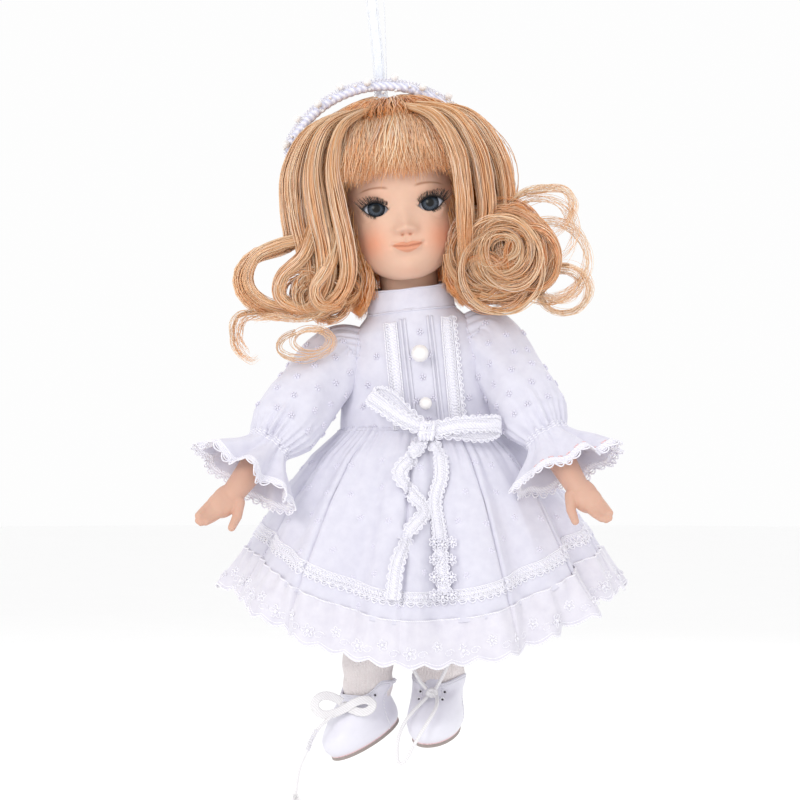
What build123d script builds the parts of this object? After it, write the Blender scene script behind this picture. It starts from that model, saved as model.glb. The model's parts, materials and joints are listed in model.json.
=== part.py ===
"""A hanging collector's doll, 200 mm from crown to sole, in its own frame.

The doll hangs from a ribbon loop. The origin is where a hook bears inside the top of that loop, +Z is up,
and the doll faces -Y, so the doll's own left side is +X. A bisque shoulder head sits on a stuffed cloth
body, bisque forearms and lower legs end the cloth limbs, and a cotton dress, a mohair-style wig, a pearl
headband, knitted socks and laced shoes cover them. Millimetres and degrees.
"""

from build123d import *
import math
import os

# ---- placing of the body under the hanging loop ----
WAIST_X = 13.8  # the waist seam's centre, sideways from the hook
WAIST_Z = -134.0
LEAN = 6.5  # the upper body leans towards -X
UPPER = Location((WAIST_X, 0, WAIST_Z), (0, -LEAN, 0))
FRONT_U = 1.6  # the centre front of bodice and placket, in the leaning frame
CLOTH = 1.0  # thickness of a dress layer
GAP = 0.35  # clearance between parts that move on each other

# ---- head, in the leaning frame: (height, half width, half depth, depth offset) ----
HEAD_U = 1.0
HEAD_RINGS = [
    (46.0, 4.5, 4.5, -9.5),
    (48.6, 9.5, 10.0, -6.5),
    (53.0, 13.5, 14.8, -4.0),
    (60.0, 16.5, 18.4, -1.5),
    (68.0, 18.0, 20.4, 0.0),
    (76.0, 19.0, 21.5, 1.0),
    (84.0, 18.2, 20.4, 1.5),
    (91.0, 14.2, 16.2, 1.5),
    (95.0, 8.0, 9.2, 1.5),
    (96.5, 2.0, 2.2, 1.5),
]
HEAD_WALL = 2.0
NECK_R = 8.8
NECK_BORE_R = 6.5
NECK_LOW = 31.5  # the shoulder plate spreads below this height
PATE_W = 86.0  # the head is cast open above this height and closed by a pate
EYE_U = 8.1  # half the distance between the eyes
EYE_W = 66.6
EYE_R = 5.6
EYE_V = -12.6

# ---- wig and headband, in the leaning frame ----
HAIR_CENTRE = (0.4, 2.0, 73.0)
HAIR_HALF = (34.0, 29.0, 28.0)
FACE_HALF = (17.5, 14.0, 28.5)  # the opening that the face shows through
FRINGE_W = 80.0  # the fringe ends at this height
CURLS_LOW = 37.2  # the side curls end here, above the shoulders
BAND_R = 31.5
BAND_CENTRE = (-3.0, 2.0, 73.0)
BAND_TUBE_R = 1.4
BAND_WIRE_R = 0.45
BAND_BACK_TILT = 8.0
BEAD_R = 1.25
BEAD_ANGLES = [18, 34, 50, 64, 79, 93, 107, 121, 134, 148, 163]

# ---- shoulders and arms ----
SHOULDER_U, SHOULDER_W = 22.0, 26.0
ARM_BALL_R = 6.5
PIN_R = 1.9  # the stitched pivot between arm and torso
SLEEVE_BALL_R = 10.2
ELBOW_T = 30.0  # distance of the elbow down the arm
ELBOW_R = 4.8
WRIST_T = 56.0
HAND_T = 72.5
ARM_PITCH = 28.0  # both arms reach forward
ARM_SPREAD = {"left": 30.5, "right": 37.0}  # and outward

# ---- legs ----
HIP_Z = -168.0
HIP_R = 7.6
LEG_X = {"left": 18.6, "right": -2.7}
KNEE_Z = -189.0
ANKLE_Z = {"left": -211.8, "right": -213.5}
SHIN_R, ANKLE_R = 6.2, 5.8
SOCK = 0.8
SOCK_TOP_Z = -193.0
FOOT_PITCH = {"left": 14.0, "right": 26.0}
FOOT_YAW = {"left": -14.0, "right": -50.0}
SOLE_TOP, SOLE_THICK = -9.7, 1.2  # below the ankle, in the foot's frame

# ---- skirt: (z, half width, half depth) ----
SKIRT_RINGS = [
    (-133.5, 25.2, 15.8),
    (-141.0, 33.0, 20.0),
    (-154.0, 43.0, 26.5),
    (-170.0, 53.0, 32.5),
    (-186.0, 63.0, 37.5),
    (-203.0, 71.0, 41.5),
]
HEM_ARC_R = 93.0  # the hem sweeps up to the sides on this radius
HEM_LOW_Z = -201.0
FLOUNCE_HEIGHT = 12.5  # the lace flounce below the skirt's own cloth
BRAID_HEIGHT = 4.0

# ---- ribbon and shoe laces ----
RIBBON_WIDTH, RIBBON_THICK = 3.0, 0.4
HOOK_R = 1.6
LACE_R = 0.55

SIDES = {"left": 1, "right": -1}  # the doll's own sides, as the sign of x


def ring(z, half_width, half_depth, y=0.0, x=0.0):
    """A level ellipse."""
    return Pos(x, y, z) * Ellipse(half_width, half_depth)


def lofted(rings):
    """A closed solid through level ellipses, each (z, half width, half depth, y, x)."""
    return loft([ring(*r) for r in rings])


def ellipsoid(half_x, half_y, half_z):
    return scale(Sphere(1), by=(half_x, half_y, half_z))


def box_between(low, high):
    """A box from its lowest to its highest corner."""
    size = [h - l for l, h in zip(low, high)]
    return Pos(*low) * Box(*size, align=(Align.MIN,) * 3)


def largest(shape):
    """The biggest solid of a shape, without the crumbs that a cut leaves."""
    return max(shape.solids(), key=lambda s: s.volume)


def cut(shape, *tools):
    """The biggest solid left of a shape after each tool is taken from it."""
    for tool in tools:
        shape = largest(shape - tool)
    return shape


def capsule(radius, length):
    """A round-topped bar hanging down from the origin."""
    return Sphere(radius) + Cylinder(radius, length, align=(Align.CENTER, Align.CENTER, Align.MAX))


# ---------------------------------------------------------------- head and wig


def head_rings(grow):
    """The head's rings, pushed outward by grow, which is negative for the inside."""
    rings = []
    for w, a, b, v in HEAD_RINGS:
        share = (w - 70.0) / 26.0  # the ends move up and down as well
        rings.append((w + grow * share, max(a + grow, 0.8), max(b + grow, 0.8), v, HEAD_U))
    return rings


def head_outer():
    return lofted(head_rings(0.0))


def shoulder_plate():
    """The bell under the neck that covers the top of the torso."""
    return lofted(
        [
            (NECK_LOW - 3.2, 12.0, 11.2, 0.0, 0.0),
            (NECK_LOW, 11.2, 10.6, 0.3, 0.2),
            (NECK_LOW + 3.5, 9.8, 9.6, 0.7, 0.6),
            (NECK_LOW + 7.0, NECK_R, NECK_R, 1.0, HEAD_U),
        ]
    )


def eye_ball(side):
    return Pos(HEAD_U + SIDES[side] * EYE_U, EYE_V, EYE_W) * (Rot(90, 0, 0) * Sphere(EYE_R))


def make_head():
    """The cast shoulder head with its eye sockets, and the pate that closes its crown."""
    outer = head_outer()
    inner = lofted(head_rings(-HEAD_WALL))
    neck_length = 22.0
    neck = Pos(HEAD_U, 1.0, NECK_LOW + 7.0) * Cylinder(NECK_R, neck_length, align=(Align.CENTER, Align.CENTER, Align.MIN))
    bore = Pos(HEAD_U, 1.0, NECK_LOW - 6) * Cylinder(NECK_BORE_R, 34, align=(Align.CENTER, Align.CENTER, Align.MIN))
    nose = Pos(HEAD_U, -19.6, 60.5) * ellipsoid(2.6, 2.8, 3.2)
    top = box_between((-40, -40, PATE_W), (40, 40, 120))
    solid = outer + neck + shoulder_plate() + nose
    solid = cut(solid, inner, bore, shoulder_plate_inside(), top, *(eye_ball(side) for side in SIDES))
    return solid, largest(cut(outer, inner) & top)


def shoulder_plate_inside():
    """The hollow of the shoulder plate, which the cloth torso fills."""
    return lofted(
        [
            (NECK_LOW - 4.0, 10.8, 10.0, 0.0, 0.0),
            (NECK_LOW, 9.6, 9.0, 0.3, 0.2),
            (NECK_LOW + 3.0, 8.0, 7.8, 0.7, 0.6),
        ]
    )


def make_eyes():
    """Each glass eye is a half ball set in its socket from inside."""
    front = box_between((-40, -30, EYE_W - 10), (40, EYE_V + 0.6, EYE_W + 10))
    return {side: eye_ball(side) & front for side in SIDES}


def make_eyelashes(outer):
    """A thin curved strip glued over the top rim of each eye."""
    strips = []
    for side in SIDES:
        strip = Pos(HEAD_U + SIDES[side] * EYE_U, EYE_V - EYE_R - 0.6, EYE_W) * (
            Rot(90, 0, 0) * (Cylinder(4.2, 3.4) - Cylinder(3.85, 6))
        )
        upper = box_between((-30, -30, EYE_W + 1.0), (30, 0, EYE_W + 8))
        strips.append(largest((strip & upper) - outer - eye_ball(side)))
    return Compound(strips)


def make_wig(clear):
    """The net cap and four masses of hair, cut apart by planes and fitted round the head and clear's parts."""
    outer = head_outer()
    grown = lofted(head_rings(0.8))
    behind = box_between((-40, -6, 55), (40, 40, 79)) + box_between((-40, -14, 79), (40, 40, 110))
    cap = largest((grown - outer) & behind)
    mass = Pos(*HAIR_CENTRE) * ellipsoid(*HAIR_HALF)
    face_u, face_v, face_w = HEAD_U, -24.0, FRINGE_W - FACE_HALF[2]
    face = Pos(face_u, face_v, face_w) * ellipsoid(*FACE_HALF)
    face = face + Pos(face_u, face_v - 8, face_w) * ellipsoid(FACE_HALF[0], FACE_HALF[1], FACE_HALF[2])
    under = box_between((-60, -60, 0), (60, 60, 50))
    mass = mass - grown - face - under
    mass = mass - box_between((-12, -12, 40), (14, 13, 60))
    fringe_box = box_between((-18, -60, 70), (20, -13, 120))
    left_box = box_between((20, -60, 0), (80, 8, 80))
    right_box = box_between((-80, -60, 0), (-18, 8, 80))
    fringe = largest(mass & fringe_box)
    left = mass & left_box
    right = mass & right_box
    rest = mass - fringe_box - left_box - right_box
    curls = {
        "left": Pos(37.0, -2.0, 50.0) * ellipsoid(18.5, 11.5, 16.5),
        "right": Pos(-34.0, -3.0, 46.0) * ellipsoid(17.5, 11.0, 17.5),
    }
    parts = {"wig_cap": cap, "wig_fringe": fringe}
    for side, own in (("left", left), ("right", right)):
        lump = curls[side] - box_between((-60, -60, 0), (60, 60, CURLS_LOW)) - grown - face
        lump = lump - box_between((-19.5, -60, 0), (21.5, 60, 200))
        rest = rest - lump
        parts[f"wig_{side}_curls"] = largest(own + lump)
    parts["wig_crown"] = largest(rest)
    return {name: cut(shape, *clear) for name, shape in parts.items()}


def make_headband():
    """A wire arch wrapped in satin, with beads threaded round it, in the leaning frame."""
    turn = Location(BAND_CENTRE, (BAND_BACK_TILT, 0, 0))
    arch = CenterArc((0, 0), BAND_R, 5, 170)
    placed = turn * (Rot(90, 0, 0) * Edge(arch.wrapped))
    start = placed @ 0
    section = Plane(origin=start, z_dir=placed % 0)
    satin = sweep(section * Circle(BAND_TUBE_R), path=placed)
    wire = sweep(section * Circle(BAND_WIRE_R), path=placed)
    beads = []
    for i, angle in enumerate(BEAD_ANGLES):
        reach = BAND_R + (BAND_TUBE_R + BEAD_R + 0.05) * (1 if i % 2 == 0 else 0.62)
        forward = 0.0 if i % 2 == 0 else -(BAND_TUBE_R + BEAD_R + 0.05) * 0.8
        a = math.radians(angle)
        beads.append(turn * Pos(reach * math.cos(a), forward, reach * math.sin(a)) * Sphere(BEAD_R))
    return satin - wire, wire, Compound(beads)


# ---------------------------------------------------------------- torso and dress


def shoulder(side):
    """Frame at a shoulder: z runs up the arm, x is the shoulder's and the elbow's hinge line."""
    return UPPER * Location((SIDES[side] * SHOULDER_U, 0, SHOULDER_W))


def arm_frame(side):
    """Frame at a shoulder with -z down the arm and x across the forearm's bend."""
    spread = SIDES[side] * ARM_SPREAD[side]
    return Location(shoulder(side).position) * Location((0, 0, 0), (0, -spread, 0)) * Location((0, 0, 0), (-ARM_PITCH, 0, 0))


def leg_frame(side):
    return Location((LEG_X[side], 0, HIP_Z))


def make_torso(head):
    """The stuffed cloth body, hollowed where the limbs' balls sit."""
    chest = UPPER * lofted(
        [
            (-4.0, 23.0, 13.5, 0.0, 0.0),
            (6.0, 21.5, 12.8, 0.0, 0.0),
            (14.0, 18.5, 12.8, 0.0, 0.0),
            (21.0, 15.0, 12.0, 0.0, 0.0),
            (NECK_LOW - 4.0, 10.8, 10.0, 0.0, 0.0),
            (NECK_LOW, 9.6, 9.0, 0.3, 0.2),
            (NECK_LOW + 3.0, 8.0, 7.8, 0.7, 0.6),
        ]
    )
    pelvis = lofted(
        [
            (-129.0, 22.0, 13.2, 0.0, WAIST_X),
            (-140.0, 21.0, 14.0, 0.0, WAIST_X - 1.5),
            (-156.0, 20.5, 15.0, 0.0, 9.5),
            (-170.0, 15.0, 11.0, 0.0, 8.3),
        ]
    )
    torso = chest + pelvis
    for side in SIDES:
        socket = shoulder(side) * (Rot(0, 90, 0) * Cylinder(PIN_R + GAP, 2 * (SLEEVE_BALL_R + 3.0)))
        armhole = arm_frame(side) * capsule(SLEEVE_BALL_R + GAP, 60)
        torso = cut(torso, leg_frame(side) * capsule(HIP_R + GAP, 30), armhole, socket)
    torso = cut(torso, box_between((-60, -60, -200), (60, 60, HIP_Z + 1.5)))
    return cut(torso, head)


def bodice_rings(grow):
    return [
        (0.0, 24.4 + grow, 15.0 + grow, 0.0, 0.0),
        (7.0, 24.2 + grow, 15.4 + grow, 0.0, 0.0),
        (16.0, 23.4 + grow, 15.4 + grow, 0.0, 0.0),
        (24.0, 22.2 + grow, 14.8 + grow, 0.0, 0.0),
        (31.0, 19.0 + grow, 13.8 + grow, 0.2, 0.2),
        (36.0, 13.0 + grow, 12.4 + grow, 0.6, 0.6),
    ]


def make_bodice(torso, head):
    """The bodice's shell with its armholes, and the standing collar."""
    shell = UPPER * cut(lofted(bodice_rings(0.0)), lofted(bodice_rings(-CLOTH)))
    for side in SIDES:
        shell = cut(shell, arm_frame(side) * capsule(SLEEVE_BALL_R + GAP, 60))
    collar = lofted([(36.0, 13.0, 12.4, 0.6, 0.6), (40.0, 12.6, 12.0, 0.8, 0.8), (44.6, 12.2, 11.6, 1.0, 0.6)])
    hollow = lofted([(35.0, 12.0, 11.4, 0.6, 0.6), (40.0, 11.6, 11.0, 0.8, 0.8), (45.6, 11.2, 10.6, 1.0, 0.6)])
    return cut(shell, torso, head), UPPER * cut(collar, hollow)


def on_bodice(outline, depth, lift):
    """A flat outline, pressed onto the bodice's front: depth thick, standing lift proud of it."""
    slab = UPPER * (Plane.XZ * outline)
    bar = extrude(slab, amount=30)
    band = UPPER * (lofted(bodice_rings(lift + depth)) - lofted(bodice_rings(lift)))
    return largest(bar & band)


def make_placket():
    """The two strips of braid beside the buttons, and the pearl buttons."""
    strips = {}
    for side, offset in (("left", 8.3), ("right", -8.3)):
        outline = Pos(FRONT_U + offset, 17.5) * Rectangle(5.4, 31.0)
        strips[f"{side}_placket_braid"] = on_bodice(outline, 0.7, 0.02)
    pearls = []
    for w, r in ((23.2, 2.6), (8.4, 1.9)):
        front = UPPER * Pos(FRONT_U, -(15.6 + r), w)
        pearls.append(front * Sphere(r))
    return strips, Compound(pearls)


def skirt_shell(low, high):
    """The skirt's thickness between two growths of its rings."""
    outer = lofted([(z, a + high, b + high, 0, WAIST_X) for z, a, b in SKIRT_RINGS])
    inner = lofted([(z, a + low, b + low, 0, WAIST_X) for z, a, b in SKIRT_RINGS])
    return outer - inner


def hem_disc(rise):
    """Everything inside the hem's arc, raised by rise."""
    axis_z = HEM_LOW_Z + HEM_ARC_R
    return Pos(WAIST_X, 0, axis_z) * (Rot(90, 0, 0) * Cylinder(HEM_ARC_R - rise, 200))


def make_skirt(torso, bodice):
    """Skirt cloth, its inset braid, the lace flounce and the petticoat, each cut on the same arc."""
    shell = skirt_shell(-CLOTH, 0.0)
    skirt = shell & hem_disc(FLOUNCE_HEIGHT)
    flounce = (shell & hem_disc(0.0)) - hem_disc(FLOUNCE_HEIGHT)
    proud = skirt_shell(0.05, 0.75)
    braid_top, braid_low = FLOUNCE_HEIGHT + 9.0, FLOUNCE_HEIGHT + 9.0 - BRAID_HEIGHT
    braid = (proud & hem_disc(braid_low)) - hem_disc(braid_top)
    petticoat = skirt_shell(-3.0, -2.2) & hem_disc(4.0)
    petticoat = petticoat - box_between((-90, -90, -141.0), (110, 90, -120))
    waistband = lofted([(-141.0, 30.6, 17.6, 0, WAIST_X), (-137.5, 27.0, 15.8, 0, WAIST_X)])
    petticoat = petticoat + (waistband - box_between((-90, -90, -150), (110, 90, -141.0)) - torso)
    return {
        "skirt": largest(skirt - torso - bodice),
        "hem_flounce": largest(flounce),
        "skirt_braid": largest(braid),
        "petticoat": largest(petticoat - torso - skirt),
    }


def skirt_front(z, off):
    """The skirt's front surface in y at height z, with off millimetres in front of it."""
    for (z1, _, b1), (z2, _, b2) in zip(SKIRT_RINGS, SKIRT_RINGS[1:]):
        if z2 <= z <= z1:
            share = (z1 - z) / (z1 - z2)
            return -(b1 + (b2 - b1) * share) - off
    raise ValueError(z)


def make_bow(skirt_parts):
    """The lace ribbon tied at the waist: knot, two loops and two tails over the skirt."""
    knot_y = -19.6
    knot = Pos(WAIST_X + 1.0, knot_y, WAIST_Z + 0.5) * ellipsoid(3.0, 2.2, 2.8)
    loops = []
    for angle, length in ((146.0, 17.5), (3.0, 19.5)):
        blade = Pos(length / 2 + 2.4, 0, 0) * Box(length, 1.6, 6.0)
        loops.append(Pos(WAIST_X + 1.0, knot_y, WAIST_Z + 0.5) * (Rot(0, -angle, 0) * blade))
    tails = []
    heights = [-138.0, -146.0, -154.0, -162.0, -170.0, -178.0, -185.0]
    for x, width in ((-5.0, 7.0), (5.0, 6.5)):
        front = [(skirt_front(z, 2.6), z) for z in heights]
        back = [(skirt_front(z, 1.7), z) for z in reversed(heights)]
        side_view = Plane.YZ * make_face(Polyline(*front, *back, close=True))
        tails.append(Pos(WAIST_X + x, 0, 0) * extrude(side_view, amount=width / 2, both=True))
    around = skirt_parts["skirt"] + skirt_parts["skirt_braid"]
    loops = [largest(loop - knot - around) for loop in loops]
    tails = [largest(tail - knot - around) for tail in tails]
    return {"bow_knot": knot, "bow_loops": Compound(loops), "bow_tails": Compound(tails)}


# ---------------------------------------------------------------- arms


def down_arm(rings):
    """A loft down an arm, each ring (distance, half width, half depth)."""
    return loft([Pos(0, 0, -t) * Ellipse(a, b) for t, a, b in rings])


def make_arm(side, torso):
    """Cloth upper arm, sleeve, cuff and lace, and the bisque forearm, in the frame of the doll."""
    place = arm_frame(side)
    tab = shoulder(side) * (Rot(0, 90, 0) * Cylinder(PIN_R, 2 * (SLEEVE_BALL_R + 2.6)))
    inward = shoulder(side) * box_between(
        (-20 if side == "left" else -1, -6, -6), (1 if side == "left" else 20, 6, 6)
    )
    upper_end = ELBOW_T - 0.9 * ELBOW_R
    upper = down_arm([(0, ARM_BALL_R - 0.4, ARM_BALL_R - 0.4), (12, 6.2, 6.2), (upper_end, 5.4, 5.4)])
    upper = place * (upper + Sphere(ARM_BALL_R) - Pos(0, 0, -ELBOW_T) * Sphere(ELBOW_R + GAP))
    upper = upper + (tab & inward)

    forearm = down_arm([(ELBOW_T, ELBOW_R, ELBOW_R), (44.0, 4.6, 4.4), (WRIST_T, 3.9, 3.3)])
    forearm = forearm + Pos(0, 0, -ELBOW_T) * Sphere(ELBOW_R)
    palm = Pos(0, 0, -(WRIST_T + 5.5)) * ellipsoid(5.0, 2.9, 8.0)
    fingers = Pos(SIDES[side] * 1.4, -0.4, -(HAND_T - 7.0)) * (Rot(6, -SIDES[side] * 8, 0) * ellipsoid(3.7, 2.3, 8.0))
    thumb = Pos(-SIDES[side] * 4.2, -1.0, -(WRIST_T + 8.0)) * (Rot(8, SIDES[side] * 16, 0) * ellipsoid(1.7, 1.7, 5.6))
    forearm = place * (forearm + palm + fingers + thumb)

    outside = [(2, 9.6, 9.6), (12, 8.8, 8.8), (24, 9.8, 9.2), (33, 8.6, 8.0), (38, 6.4, 5.9)]
    inside = [(t, a - CLOTH, b - CLOTH) for t, a, b in outside]
    inside[0], inside[-1] = (0.5, 8.6, 8.6), (38.5, 5.4, 4.9)
    sleeve = down_arm(outside) + Sphere(SLEEVE_BALL_R)
    sleeve = place * (sleeve - down_arm(inside) - Sphere(SLEEVE_BALL_R - CLOTH))
    cap_side = box_between((-30, -30, -30), (-4.0, 30, 30)) if side == "left" else box_between((4.0, -30, -30), (30, 30, 30))
    sleeve = largest(sleeve - shoulder(side) * cap_side - upper)

    flare = [(38.4, 6.2, 5.6), (42, 6.8, 5.4), (46.5, 11.6, 6.2), (50.0, 15.0, 7.4)]
    hollow = [(t, a - CLOTH, b - CLOTH) for t, a, b in flare]
    hollow[0], hollow[-1] = (38.0, 5.2, 4.6), (50.5, 14.4, 6.6)
    cuff = place * (down_arm(flare) - down_arm(hollow))
    edge = [(50.05, 15.0, 7.4), (53.2, 17.0, 8.4)]
    edge_hollow = [(49.5, 13.9, 6.4), (53.8, 16.4, 7.8)]
    lace = place * (down_arm(edge) - down_arm(edge_hollow))
    return {
        f"{side}_upper_arm": largest(upper - torso),
        f"{side}_forearm": largest(forearm),
        f"{side}_sleeve": sleeve,
        f"{side}_cuff": largest(cuff - forearm),
        f"{side}_cuff_lace": largest(lace - forearm),
    }


# ---------------------------------------------------------------- legs and shoes


def foot_frame(side):
    """Frame at the ankle: -y to the toe, z square to the sole."""
    turned = Location((LEG_X[side], 0, ANKLE_Z[side]), (0, 0, FOOT_YAW[side]))
    return turned * Location((0, 0, 0), (FOOT_PITCH[side], 0, 0))


def level_cone(side, z_high, z_low, r_high, r_low):
    """An upright tapered round bar on a leg's axis."""
    x = LEG_X[side]
    return loft([Pos(x, 0, z_low) * Circle(r_low), Pos(x, 0, z_high) * Circle(r_high)])


def make_leg(side):
    """Cloth thigh, bisque shin and foot, sock, shoe, sole and tongue."""
    foot_place, ankle = foot_frame(side), ANKLE_Z[side]

    def flesh(grow, top):
        """The shin and foot, thickened by grow: the sock is the same shape a little larger."""
        shin = level_cone(side, top, ankle, SHIN_R + grow, ANKLE_R + grow)
        foot = Sphere(ANKLE_R + 0.1 + grow) + Pos(0, -6.5, -4.2) * ellipsoid(5.8 + grow, 11.5 + grow, 4.6 + grow)
        return shin + foot_place * foot

    lower_leg = flesh(0.0, KNEE_Z + 6)
    thigh = leg_frame(side) * Sphere(HIP_R) + level_cone(side, HIP_Z, KNEE_Z, HIP_R - 0.3, 7.4)
    thigh = largest(thigh - lower_leg)

    solid_sock = flesh(SOCK, SOCK_TOP_Z)
    sock = largest(solid_sock - lower_leg)

    hull = foot_place * (Pos(0, -6.8, -4.0) * ellipsoid(8.2, 14.2, 7.2) + Pos(0, 0.8, 0) * Sphere(8.0))
    collar = level_cone(side, ankle + 5.0, ankle - 3.0, 8.0, 8.0)
    sole_cut = box_between((-30, -40, -40), (30, 30, SOLE_TOP))
    throat = Pos(0, -8.0, 8.5) * (Rot(-28, 0, 0) * Box(7.0, 13.0, 13.0))
    hull = (hull + collar) - foot_place * sole_cut
    shoe = largest(hull - solid_sock - foot_place * throat)
    print_of = Pos(0, -6.3, 0) * Ellipse(6.9, 13.0)
    sole = foot_place * Pos(0, 0, SOLE_TOP - SOLE_THICK) * extrude(print_of, amount=SOLE_THICK)
    tongue = foot_place * (Pos(0, -9.2, 3.4) * (Rot(24, 0, 0) * Box(6.0, 9.0, 0.8)))
    tongue = largest(tongue - solid_sock - shoe)
    return {
        f"{side}_upper_leg": thigh,
        f"{side}_lower_leg": largest(lower_leg),
        f"{side}_sock": sock,
        f"{side}_shoe": shoe,
        f"{side}_sole": largest(sole),
        f"{side}_shoe_tongue": tongue,
    }


# ---------------------------------------------------------------- ribbon and laces


def bend_radii(points):
    """The largest arc at each corner of a route: 0.45 of the shorter run over the tangent of half the turn."""
    radii = []
    for a, b, c in zip(points, points[1:], points[2:]):
        into, out = Vector(*b) - Vector(*a), Vector(*c) - Vector(*b)
        half_turn = math.radians(into.get_angle(out)) / 2
        radii.append(0.45 * min(into.length, out.length) / math.tan(half_turn))
    return radii


def cord_tube(name, points, radius):
    """A round cord along straight runs joined by tangent arcs."""
    radii = bend_radii(points)
    path = FilletPolyline(*points, radius=radii)
    tube = sweep(Plane(origin=path @ 0, z_dir=path % 0) * Circle(radius), path=path)
    exact = math.pi * radius**2 * path.length
    print(name, "length", round(path.length, 1), "radii", [round(r, 1) for r in radii], "volume share", round(tube.volume / exact, 3))
    return tube


RIBBON_LEFT_FOOT = (1.0, 1.2, -33.2)
RIBBON_RIGHT_FOOT = (3.0, 1.2, -33.2)


def make_ribbon():
    """The loop of picot ribbon, taut over the hook, and the stitched knot that holds both ends."""
    top = RIBBON_THICK / 2
    left_top = (-HOOK_R - top, 1.2, top)
    right_top = (HOOK_R + top, 1.2, top)
    corner = HOOK_R + top - 0.02
    path = FilletPolyline(RIBBON_LEFT_FOOT, left_top, right_top, RIBBON_RIGHT_FOOT, radius=corner * 0.9)
    across = Plane(origin=path @ 0, x_dir=(0, 1, 0), z_dir=path % 0)
    ribbon = sweep(across * Rectangle(RIBBON_WIDTH, RIBBON_THICK), path=path)
    knot = Pos(2.0, 1.2, -34.8) * ellipsoid(2.2, 1.8, 1.8)
    return ribbon - knot, knot


LACE_ROUTES = {
    "left": {
        "lace_lower_loop": [
            (14.8, -11.6, -212.6),
            (11.8, -14.4, -215.2),
            (8.2, -16.8, -219.2),
            (6.0, -18.6, -224.4),
            (6.0, -19.6, -231.2),
            (8.2, -20.2, -231.2),
            (12.0, -22.0, -223.6),
            (15.8, -20.4, -217.8),
            (18.2, -15.4, -214.0),
            (17.8, -11.8, -212.4),
        ],
        "lace_upper_loop": [
            (14.8, -10.6, -210.2),
            (11.4, -10.0, -206.4),
            (9.2, -9.6, -199.4),
            (10.8, -9.4, -192.6),
            (15.6, -9.4, -189.6),
            (20.8, -9.4, -192.2),
            (22.6, -9.6, -199.6),
            (19.6, -10.0, -206.6),
            (17.4, -10.6, -210.2),
        ],
    },
    "right": {
        "lace_bow": [
            (-10.6, -9.6, -214.4),
            (-13.4, -10.6, -212.4),
            (-16.6, -11.6, -212.4),
            (-18.6, -12.2, -214.8),
            (-16.6, -12.0, -217.4),
            (-12.8, -11.0, -217.2),
            (-9.2, -10.4, -215.4),
            (-5.6, -10.8, -213.2),
            (-2.4, -11.0, -212.8),
            (-0.4, -11.2, -214.8),
            (-2.2, -11.4, -217.2),
            (-5.6, -11.2, -217.4),
            (-8.4, -10.2, -216.2),
        ],
        "lace_end": [
            (-9.8, -9.6, -216.0),
            (-14.0, -12.4, -218.4),
            (-18.4, -13.6, -222.6),
            (-20.6, -14.0, -228.2),
            (-23.4, -13.8, -233.6),
            (-24.0, -13.4, -241.0),
        ],
    },
}
LACE_KNOTS = {"left": (16.3, -10.9, -211.3), "right": (-9.4, -9.4, -215.6)}


def make_laces(side, leg):
    """The knot over the shoe's tongue, the bow loop and the free end."""
    knot = Pos(*LACE_KNOTS[side]) * ellipsoid(2.0, 1.6, 1.8)
    solids = list(leg.values())
    parts = {f"{side}_lace_knot": knot}
    for name, route in LACE_ROUTES[side].items():
        parts[f"{side}_{name}"] = cord_tube(f"{side}_{name}", route, LACE_R) - knot
    for name in parts:
        for other in solids:
            parts[name] = parts[name] - other
    if side == "right":
        parts["right_lace_end"] = parts["right_lace_end"] - parts["right_lace_bow"]
        halves = [s for s in parts["right_lace_bow"].solids() if s.volume > 1]
        parts["right_lace_bow"] = Compound(halves)
    return {name: shape if name.endswith("bow") else largest(shape) for name, shape in parts.items()}


# ---------------------------------------------------------------- the whole doll


def build():
    """Every node's shape in the row frame."""
    parts = {}
    head, pate = (UPPER * s for s in make_head())
    outer = head_outer()
    eyes = make_eyes()
    ribbon, ribbon_knot = make_ribbon()
    satin, wire, beads = make_headband()
    band_local = satin + wire
    knot_local = UPPER.inverse() * ribbon_knot
    ribbon_local = UPPER.inverse() * ribbon
    lashes = make_eyelashes(outer)
    wig = make_wig([band_local, beads, knot_local, ribbon_local, lashes, *eyes.values()])
    parts["shoulder_head"], parts["crown_pate"] = head, pate
    for side in SIDES:
        parts[f"{side}_eye"] = UPPER * eyes[side]
    parts["eyelashes"] = UPPER * lashes
    for name, shape in wig.items():
        parts[name] = UPPER * shape
    parts["headband_satin"], parts["headband_wire"] = UPPER * satin, UPPER * wire
    parts["headband_pearls"] = UPPER * beads
    parts["hanging_ribbon"], parts["ribbon_knot"] = ribbon, ribbon_knot

    torso = make_torso(head)
    parts["torso"] = torso
    parts["bodice"], parts["collar"] = make_bodice(torso, head)
    strips, parts["pearl_buttons"] = make_placket()
    skirt_parts = make_skirt(torso, parts["bodice"])
    parts.update(skirt_parts)
    parts.update(make_bow(skirt_parts))
    parts.update(strips)
    for side in SIDES:
        parts.update(make_arm(side, torso))
        leg = make_leg(side)
        parts.update(leg)
        parts.update(make_laces(side, leg))
    return parts


def main():
    os.makedirs("parts", exist_ok=True)
    for name, shape in build().items():
        export_step(shape, f"parts/{name}.step")
    for side in SIDES:
        where = arm_frame(side)
        elbow = where * Location((0, 0, -ELBOW_T))
        across = Plane(where).x_dir
        print(side, "shoulder", shoulder(side).position, "elbow", elbow.position, "elbow axis", across)


main()
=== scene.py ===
"""The looks of a hanging bisque doll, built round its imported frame.

Shapes are worked out in millimetres, in the doll's own frame or in one of its limbs' frames, and turned
into metres when a mesh is made. The doll faces -Y, and its own left side is +X.
"""

import json
import math

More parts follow.
